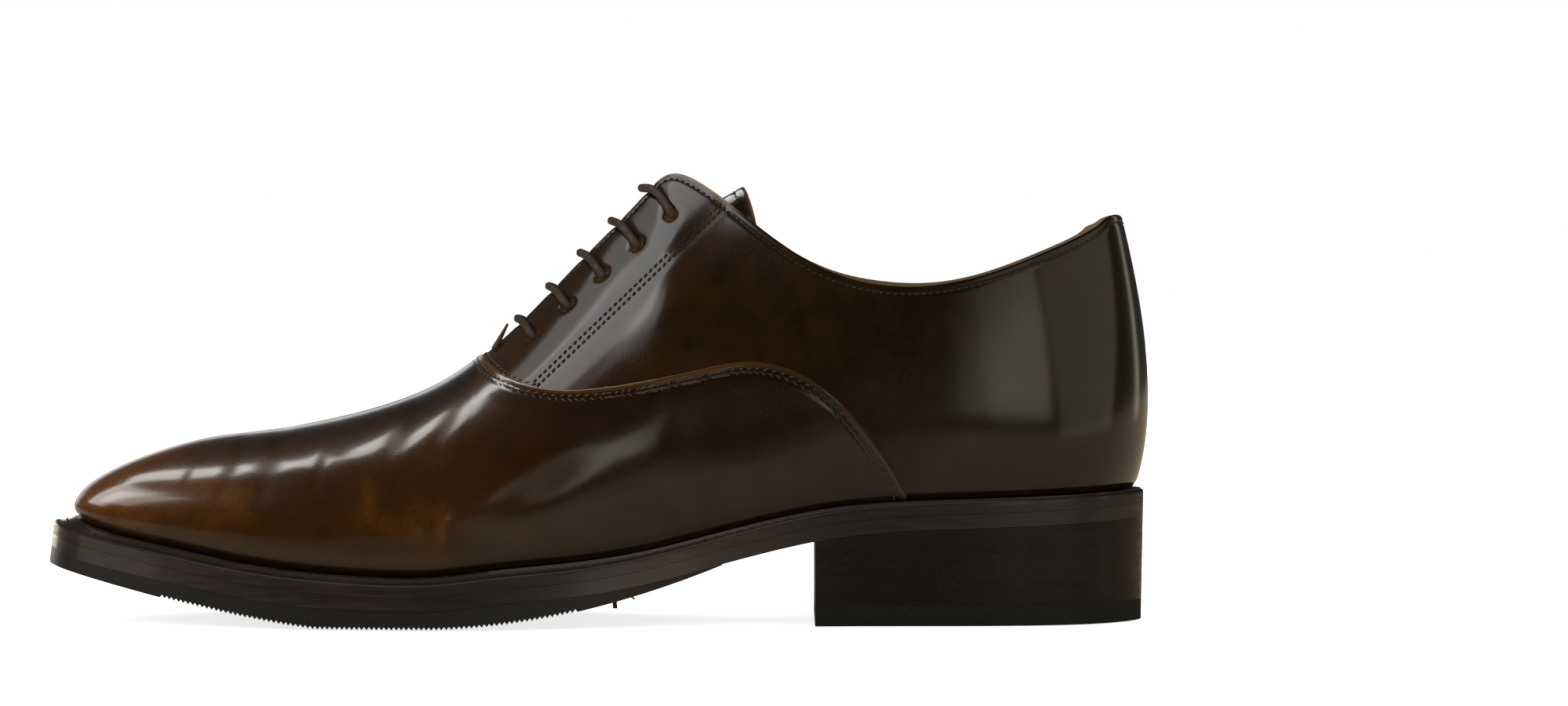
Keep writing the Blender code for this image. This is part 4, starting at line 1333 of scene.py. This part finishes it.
def addTongue():
    share = np.linspace(0, 1, tongueSetup["along"])[:, None]
    turn = np.tile(np.linspace(-1, 1, tongueSetup["across"]), (tongueSetup["along"], 1))
    points, normals = tongueFace(share * tongueTip(turn), turn)
    tipTurn = np.linspace(-1, 1, tongueSetup["tipPoints"])
    fromTip = nearness(points, tongueFace(tongueTip(tipTurn), tipTurn)[0])
    border = np.minimum(fromTip, (1 - np.abs(turn)) * tongueSetup["halfMm"])
    lift = rolledEdge(border, tongueSetup["roll"])
    lift = lift + seamGroove(fromTip, [tongueSetup["seamFromTip"]], *tongueSetup["seam"])
    outer = raised(points, normals, lift)
    inner = raised(points, normals, -tongueSetup["thickness"] - rolledEdge(border, tongueSetup["innerRoll"]))
    paler, reach = tongueSetup["tipTone"]
    fields = {
        "tone": tongueSetup["tone"] - paler * bell(fromTip, reach),
        "rubbed": tongueSetup["rubbedMost"] * fade(*tongueSetup["rubbed"], fromTip),
        "raw": tongueSetup["rawMost"] * fade(*tongueSetup["raw"], fromTip),
    }
    mesh = leatherShell("tongueLeather", outer, inner, fields)
    addPiece(mesh, ("upper", "lining", "upper"), ["tongue"], "tongue")
    share = np.linspace(-tongueSetup["seamTurn"], tongueSetup["seamTurn"], tongueSetup["seamPoints"])
    line, normals = tongueFace(tongueTip(share), share)
    back, _ = tongueFace(tongueTip(share) - tongueSetup["seamBack"], share)
    line = line + unit(back - line) * tongueSetup["seamFromTip"] - normals * tongueSetup["seam"][0]
    rows = stitchTubes(line, normals, quarterThread)
    addThread("tongueStitches", rows, "darkThread", "tongue")


# A loose sliver of the facing's lining stands up at the throat: base and tip seen from the side
sliver = {
    "base": (-29.5, 76.0), "tip": (-26.3, -0.8, 83.2), "radius": 0.95, "end": 0.35, "lift": 0.35,
    "rings": 12, "sides": 8, "fields": {"tone": 0.8, "raw": 0.15},
}


def addSliver():
    w, v = locate(*sliver["base"], -1)
    base = wallPoint(w, v) + wallNormal(w, v) * sliver["lift"]
    share = np.linspace(0, 1, sliver["rings"])[:, None]
    route = base * (1 - share) + np.array(sliver["tip"]) * share
    points, faces = tubeMesh(
        route, sliver["radius"], sliver["sides"], taper=lambda along: 1 - (1 - sliver["end"]) * along
    )
    fields = {field: np.full(len(points), value) for field, value in sliver["fields"].items()}
    mesh = finishMesh("throatSliver", points, faces, fields=fields)
    addPiece(mesh, ["upper"])


addTongue()
addSliver()
print("tongue made")

# Sole stack in mm
soleSetup = {
    "spacing": 1.6, "midsoleThick": 4.0, "seam": 0.06, "lap": 0.03,
    "toeX": -156.4, "toeSpring": 16.0, "springPower": 1.25, "flatFront": -76.0, "flatBack": -46.0,
    "rubberEndX": 20.0, "rubberEndZ": 11.6, "waistPower": 1.9,
    "layers": 6, "capSteps": 10, "planPoints": 3001,
}
weltSetup = {
    "thick": 3.6, "tuck": 6.0, "shoulder": 1.6, "sag": 0.35, "sagShares": (0.25, 0.5, 0.75, 1.0),
    "edgeRound": 0.8, "edgeRows": 5, "edgeTurns": (25, 50, 70, 90),
    "seamShare": 0.55, "seamDrop": 0.45, "seamEnd": 15.2,  # the seam ends at this station on both sides
}
weltThread = {"pitch": 3.4, "length": 3.0, "radius": 0.4, "lift": 0.0, "sink": 0.4, "slant": 4.0}
layersDepth = weltSetup["thick"] + soleSetup["midsoleThick"]
# painted light and shade along the sole's edge: darker from behind the toe to the waist's front, lighter at
# the waist, darkest at the heel; added to each layer's own tone
soleLightAndShade = openCurve(
    (-160, -100, -60, -12, 6, 46, 66, 110, 160), (0, 0, 0.12, 0.16, -0.06, -0.06, 0.34, 0.34, 0.2)
)


def treadZ(x):
    front = np.clip((soleSetup["flatFront"] - x) / (soleSetup["flatFront"] - soleSetup["toeX"]), 0, None)
    back = np.clip((x - soleSetup["flatBack"]) / (soleSetup["rubberEndX"] - soleSetup["flatBack"]), 0, None)
    spring = soleSetup["toeSpring"] * front ** soleSetup["springPower"]
    return spring + soleSetup["rubberEndZ"] * back ** soleSetup["waistPower"]


def midsoleBottom(x):
    return soleEdge["edgeZ"](x) - layersDepth


def soleMesh(name, points, faces, **settings):
    return finishMesh(name, points, faces, fields={"tone": soleLightAndShade(points[:, 0])}, **settings)


def plateFromRings(name, lateral, medial, **settings):
    # a plate from rings of points, bottom ring first: lateral and medial sides run toe to heel alike
    across = np.linspace(0, 1, soleSetup["capSteps"] + 1)[:, None, None]
    blocks = [lateral, medial]
    for level in (0, -1):
        blocks.append(lateral[level] * (1 - across) + medial[level] * across)
    for end in (0, -1):  # flat front and back ends, which close up where both sides meet
        blocks.append(lateral[:, end] * (1 - across) + medial[:, end] * across)
    faces, start = [], 0
    for block in blocks:
        faces.extend(gridFaces(*block.shape[:2], start))
        start += block.shape[0] * block.shape[1]
    return soleMesh(name, np.concatenate([block.reshape(-1, 3) for block in blocks]), faces, **settings)


def ringPoint(w, depth, height, grow=0.0):
    plan = edgeOutline(w, depth, grow)
    return np.column_stack([plan, height(plan[:, 0])])


def edgeRing(w, depth, grow=0.0):
    # a ring at a set depth below the welt's edge
    return ringPoint(w, depth, lambda x: soleEdge["edgeZ"](x) - depth, grow)


def addWelt():
    w = bothSides(evenStations(0, heelStation, soleSetup["spacing"], 0.0))
    thick, roundOff = weltSetup["thick"], weltSetup["edgeRound"]
    depths = np.linspace(thick - soleSetup["lap"], roundOff, weltSetup["edgeRows"])
    profile = [edgeRing(w, depth) for depth in depths]
    for turn in np.radians(weltSetup["edgeTurns"]):
        profile.append(edgeRing(w, roundOff * (1 - math.sin(turn)), -roundOff * (1 - math.cos(turn))))
    brink = profile[-1]
    foot = np.column_stack([planOutline(w, weltSetup["shoulder"]), weltTop(wall["footX"](w))])
    for share in weltSetup["sagShares"]:
        row = brink * (1 - share) + foot * share
        row[:, 2] -= weltSetup["sag"] * math.sin(math.pi * share)
        profile.append(row)
    inner = planOutline(w, -weltSetup["tuck"])
    profile.append(np.column_stack([inner, weltTop(inner[:, 0])]))
    profile.append(np.column_stack([inner, soleEdge["edgeZ"](inner[:, 0]) - thick]))
    profile.append(profile[0])
    mesh = soleMesh("weltStrip", np.concatenate(profile), gridFaces(len(profile), len(w)))
    addPiece(mesh, ["welt"], ["welt"], "sole")
    row = brink * (1 - weltSetup["seamShare"]) + foot * weltSetup["seamShare"]
    row[:, 2] -= weltSetup["seamDrop"]
    row = row[np.abs(w) < weltSetup["seamEnd"]]
    up = np.tile([0.0, 0.0, 1.0], (len(row), 1))
    addThread("weltStitches", stitchTubes(row, up, weltThread), "darkThread", "sole")


def addMidsole():
    half = evenStations(0, heelStation, soleSetup["spacing"], 0.0)
    top = weltSetup["thick"] + soleSetup["seam"]
    depths = np.linspace(layersDepth - soleSetup["lap"], top, soleSetup["layers"])
    sides = [np.array([edgeRing(side * half, depth) for depth in depths]) for side in (-1, 1)]
    mesh = plateFromRings("midsoleLayer", *sides)
    addPiece(mesh, ["midsole"], ["midsole"], "sole")


def stationForX(x, side, depth):
    half = np.linspace(0, heelStation, soleSetup["planPoints"])
    rising = np.maximum.accumulate(edgeOutline(side * half, depth)[:, 0])
    return side * np.interp(x, rising, half)


# The forefoot's rubber, with upright teeth round its side
treadSetup = {
    "depth": 12.4, "featherX": 35.0, "firstX": -121.0, "lastX": -4.0, "pitch": 1.37, "tooth": 0.85,
    "rim": 2.5, "toeStations": 40, "tailStations": 12, "least": 0.02, "land": 0.25, "landShare": 0.5,
    "undercut": 0.9, "sideRows": 5, "endStep": 0.05, "sharp": 25.0,
}


def addOutsole():
    depth, tooth = treadSetup["depth"], treadSetup["tooth"]
    count = int(round((treadSetup["lastX"] - treadSetup["firstX"]) / treadSetup["pitch"]))
    x = treadSetup["firstX"] + np.arange(2 * count + 1) * treadSetup["pitch"] / 2  # crest, valley, crest
    cut = np.tile([0.0, tooth], count + 1)[:-1]
    # and thinned out to nothing under the waist
    tail = np.linspace(x[-1], treadSetup["featherX"], treadSetup["tailStations"])[1:]
    x, cut = np.concatenate([x, tail]), np.concatenate([cut, 0 * tail])
    sides = []
    for side in (-1, 1):
        first = abs(float(stationForX(treadSetup["firstX"], side, depth)))
        toe = side * np.linspace(0, first, treadSetup["toeStations"])[:-1]
        w = np.concatenate([toe, stationForX(x, side, depth)])
        teeth = np.concatenate([np.zeros(len(toe)), cut])

        def outline(down, grow=0.0):
            plan = edgeOutline(w, down, grow)
            plan[len(toe):, 0] = x
            return plan

        plan, rim = outline(depth), outline(depth, -treadSetup["rim"])
        tread = treadZ(plan[:, 0])
        top = midsoleBottom(plan[:, 0]) - soleSetup["seam"]
        hollow = np.minimum(treadZ(rim[:, 0]) + tooth, top - treadSetup["least"])
        rings = [np.column_stack([rim, hollow]), np.column_stack([plan, tread + teeth])]
        clear = np.minimum(tooth + treadSetup["land"], treadSetup["landShare"] * (top - tread))
        for share in np.linspace(0, 1, treadSetup["sideRows"]):
            level = tread + clear + (top - tread - clear) * share
            level[-1] = max(level[-1], rings[-1][-1, 2] + treadSetup["endStep"])
            down = layersDepth + (depth - layersDepth) * (1 - share) * treadSetup["undercut"]
            rings.append(np.column_stack([outline(down), level]))
        sides.append(np.array(rings))
    mesh = plateFromRings("treadRubber", *sides, sharp=treadSetup["sharp"])
    addPiece(mesh, ["outsole"], ["outsole"], "sole")


# Two ends of rubber that the mould left under the waist: routes from the sole down (x, y, z) and radius
nubRoutes = (
    (((5.4, -41.0, 8.2), (5.4, -41.0, 6.6), (5.5, -41.0, 5.9), (5.5, -41.0, 5.3)), 0.62),
    (((9.6, -42.0, 9.4), (9.9, -42.0, 8.7), (10.4, -42.0, 8.3), (10.9, -42.0, 7.9)), 0.28),
)
nubSides = 10


def addNubs():
    tubes = [tubeMesh(np.array(route), radius, nubSides) for route, radius in nubRoutes]
    addThread("rubberNubs", tubes, "outsole", "sole")


heelSetup = {
    "depth": 35.5, "breastX": 60.6, "stations": 110, "stackRows": 13, "topPiece": 5.8,
    "topPieceRows": (0.0, 0.35, 1.0, 3.0, 5.0, 5.8),
}


def heelSides(depths, heights):
    first = abs(float(stationForX(heelSetup["breastX"], 1, layersDepth)))
    sides = []
    for side in (-1, 1):
        w = side * np.linspace(first, heelStation, heelSetup["stations"])
        rings = []
        for depth, height in zip(depths, heights):
            ring = ringPoint(w, depth, height)
            ring[0, 0] = heelSetup["breastX"]
            ring[0, 2] = height(heelSetup["breastX"])
            rings.append(ring)
        sides.append(np.array(rings))
    return sides


def addHeel():
    low = heelSetup["topPiece"] + soleSetup["seam"]
    tall = heelSetup["depth"] - low

    def level(share):
        return lambda x: low + (midsoleBottom(x) - soleSetup["seam"] - low) * share

    shares = np.linspace(0, 1, heelSetup["stackRows"])
    sides = heelSides(tall - (tall - layersDepth) * shares, [level(share) for share in shares])
    mesh = plateFromRings("heelStack", *sides)
    addPiece(mesh, ["heel"], ["heel_stack"], "sole")
    rows = np.array(heelSetup["topPieceRows"])
    sides = heelSides(heelSetup["depth"] - rows, [lambda x, z=z: 0 * x + z for z in rows])
    mesh = plateFromRings("heelTopPiece", *sides)
    addPiece(mesh, ["topPiece"], ["heel_top_piece"], "sole")


insoleSetup = {
    "spacing": 2.0, "inset": 3.2, "toeSetback": 9.0, "fore": 3.4, "lift": 15.0, "liftX": (-20.0, 100.0),
    "planPoints": 2201,
    "edge": ((0.0, 0.0), (0.6, 0.0), (0.85, 0.15), (0.96, 0.5), (1.0, 1.2)),  # share of the height, inset
}


def addInsole():
    frontX = sectionTable[0, 0] + insoleSetup["toeSetback"]
    half = np.linspace(0, heelStation, insoleSetup["planPoints"])
    first = float(np.interp(frontX, wall["footX"](half), half))
    sides = []
    for side in (-1, 1):
        w = side * evenStations(first, heelStation, insoleSetup["spacing"], 0.0)
        rings = []
        for share, inset in insoleSetup["edge"]:
            plan = planOutline(w, -(insoleSetup["inset"] + inset))
            plan[0, 0] = frontX
            x = plan[:, 0]
            tall = insoleSetup["fore"] + insoleSetup["lift"] * smoothStep(*insoleSetup["liftX"], x)
            rings.append(np.column_stack([plan, weltTop(x) + 2 * solidGap + tall * share]))
        sides.append(np.array(rings))
    mesh = plateFromRings("insoleCover", *sides)
    addPiece(mesh, ["lining"], ["insole"])


addWelt()
addMidsole()
addOutsole()
addNubs()
addHeel()
addInsole()
print("sole and insole made")

# Floor and lights
studio = {
    "floorSize": 12.0, "floorDrop": 0.0003, "floorLift": 0.8, "floorSun": 3.7, "sunAngle": 150.0,
    "floorColour": (0.93, 0.93, 0.93, 1), "floorSpeckle": (0.96, 0.96, 0.96, 1), "speckleMm": 400.0,
    "floorInGloss": (0.33, 0.265, 0.17, 1), "ambient": 0.25, "darkRoom": 0.05,
    "lights": (  # name, what it lights, place, aim, width, height, brightness, colour
        ("ripple", "vamp", (-0.26, 0.3, 0.9), (-0.07, 0.0, 0.045), 0.5, 0.2, 7.0, (1.0, 0.98, 0.94)),
        ("throatBox", "vamp", (-0.58, 0.3, 0.82), (-0.03, 0.0, 0.05), 0.2, 0.24, 6.5, (1.0, 0.99, 0.97)),
        ("toeBox", "vamp", (-0.86, 0.13, 0.56), (-0.13, 0.0, 0.035), 0.42, 0.5, 5.2, (1.0, 0.97, 0.9)),
        ("toeFront", "vamp", (-0.845, -0.06, 0.585), (-0.13, 0.0, 0.035), 0.35, 0.3, 4.2, (1.0, 0.97, 0.9)),
        ("vampGlow", "vamp", (0.165, -1.02, 0.4), (0.06, 0.0, 0.05), 0.16, 0.16, 2.5, (1.0, 0.98, 0.86)),
        ("frontPaper", "vamp", (0.35, -1.4, 0.12), (0.05, 0.0, 0.04), 1.2, 0.22, 0.35, (1.0, 0.86, 0.62)),
        ("backPaper", "vamp", (-0.75, 1.5, 0.34), (-0.1, 0.0, 0.06), 1.0, 0.5, 0.9, (1.0, 1.0, 1.0)),
        ("facing", "quarter", (-0.6, -0.32, 0.83), (0.0, 0.0, 0.08), 0.6, 0.9, 3.0, (0.97, 1.0, 1.0)),
        ("frontSoft", "quarter", (0.22, -1.04, 0.3), (0.1, 0.0, 0.07), 0.12, 0.3, 0.8, (1.0, 0.96, 0.76)),
        ("frontRight", "quarter", (0.5, -0.95, 0.47), (0.12, 0.0, 0.07), 0.5, 0.7, 1.35, (1.0, 0.96, 0.76)),
        ("rightFill", "quarter", (1.15, -0.5, 0.42), (0.14, 0.0, 0.07), 1.1, 0.9, 0.6, (1.0, 0.96, 0.76)),
        ("rightStrip", "quarter", (0.95, 0.5, 0.4), (0.15, 0.0, 0.07), 0.14, 0.9, 1.3, (1.0, 0.96, 0.76)),
        ("facingFront", "quarter", (-0.4, -0.6, 0.75), (0.03, 0.0, 0.09), 0.3, 0.35, 2.6, (0.97, 1.0, 1.0)),
        ("lacingBox", "quarter", (-0.62, 0.15, 0.92), (0.0, 0.0, 0.1), 0.4, 0.4, 1.3, (0.97, 1.0, 1.0)),
        ("tongueBack", "tongue", (-0.42, 0.85, 0.95), (0.04, 0.0, 0.12), 0.5, 0.8, 3.0, (0.97, 1.0, 1.0)),
        ("tongueSide", "tongue", (-0.3, -0.8, 0.7), (0.04, 0.0, 0.12), 0.4, 0.4, 1.0, (1.0, 0.98, 0.94)),
        ("soleLeft", "sole", (-1.15, -0.35, 0.35), (-0.05, 0.0, 0.02), 0.6, 0.5, 2.8, (1.0, 0.95, 0.86)),
        ("solePaper", "sole", (-0.85, 1.35, 0.14), (-0.15, 0.0, 0.02), 1.0, 0.5, 8.0, (1.0, 0.9, 0.8)),
        ("waistGlow", "sole", (0.52, -1.2, 0.2), (0.0, 0.0, 0.02), 0.3, 0.5, 3.6, (1.0, 0.97, 0.84)),
        ("heelStrip", "sole", (1.25, -0.08, 0.1), (0.15, 0.0, 0.03), 0.16, 0.6, 3.0, (1.0, 0.92, 0.76)),
        ("soleTop", "sole", (-0.1, -0.3, 1.0), (0.0, 0.0, 0.02), 1.2, 0.5, 3.0, (1.0, 0.93, 0.84)),
        ("heelGlow", "sole", (0.8, -0.8, 0.16), (0.14, 0.0, 0.03), 0.45, 0.5, 2.4, (1.0, 0.96, 0.8)),
    ),
}


def addFloor():
    half = studio["floorSize"] / 2
    mesh = bpy.data.meshes.new("floor")
    corners = [(-half, -half, 0), (half, -half, 0), (half, half, 0), (-half, half, 0)]
    mesh.from_pydata(corners, [], [(0, 1, 2, 3)])
    floor = bpy.data.objects.new("floor", mesh)
    stage = bpy.data.collections.new("stage")
    bpy.context.scene.collection.children.link(stage)
    stage.objects.link(floor)
    floor.location.z = -studio["floorDrop"]
    material, tree, shader = newMaterial("paleFloor", {"Roughness": 0.9, "Emission Color": (1, 1, 1, 1)})
    path = addNode(tree, "ShaderNodeLightPath").outputs
    shade = noise(tree, shoeCoordinates(tree, studio["speckleMm"]), 2.0)
    paper = mixColours(tree, shade, studio["floorColour"], studio["floorSpeckle"])
    feed(tree, shader["Base Color"], mixColours(tree, path["Is Glossy Ray"], paper, studio["floorInGloss"]))
    lift = maths(tree, "MULTIPLY", path["Is Camera Ray"], studio["floorLift"])
    feed(tree, shader["Emission Strength"], lift)
    mesh.materials.append(material)
    data = bpy.data.lights.new("floorSun", "SUN")
    data.energy, data.angle = studio["floorSun"], math.radians(studio["sunAngle"])
    addLight("floorSun", data, stage)


def addLight(name, data, receivers):
    light = bpy.data.objects.new(name, data)
    bpy.context.scene.collection.objects.link(light)
    light.light_linking.receiver_collection = receivers
    return light


def addLights():
    for name, lit, at, aim, width, height, brightness, colour in studio["lights"]:
        data = bpy.data.lights.new(name, "AREA")
        data.shape, data.size, data.size_y = "RECTANGLE", width, height
        data.energy = brightness * math.pi * width * height
        data.color = colour
        receivers = bpy.data.collections.new(f"litBy_{name}")
        receivers.children.link(groups[lit])
        light = addLight(name, data, receivers)
        light.location = at
        light.rotation_euler = (Vector(aim) - Vector(at)).to_track_quat("-Z", "Y").to_euler()
        light.visible_camera = False


def addWorld():
    # white behind the shoe, dim round it, and dark flags in its gloss
    world = bpy.data.worlds.new("studio")
    bpy.context.scene.world = world
    world.use_nodes = True
    tree = world.node_tree
    tree.nodes.clear()
    path = addNode(tree, "ShaderNodeLightPath").outputs

    def glow(strength):
        return addNode(tree, "ShaderNodeBackground", {"Color": (1, 1, 1, 1), "Strength": strength}).outputs[0]

    def choose(ray, others, chosen):
        return addNode(tree, "ShaderNodeMixShader", {0: path[ray], 1: others, 2: chosen}).outputs[0]

    shaded = choose("Is Glossy Ray", glow(studio["ambient"]), glow(studio["darkRoom"]))
    seen = choose("Is Camera Ray", shaded, glow(1.0))
    addNode(tree, "ShaderNodeOutputWorld", {"Surface": seen})


addFloor()
addLights()
addWorld()
bpy.context.scene.view_settings.view_transform = "Standard"
print("studio made")
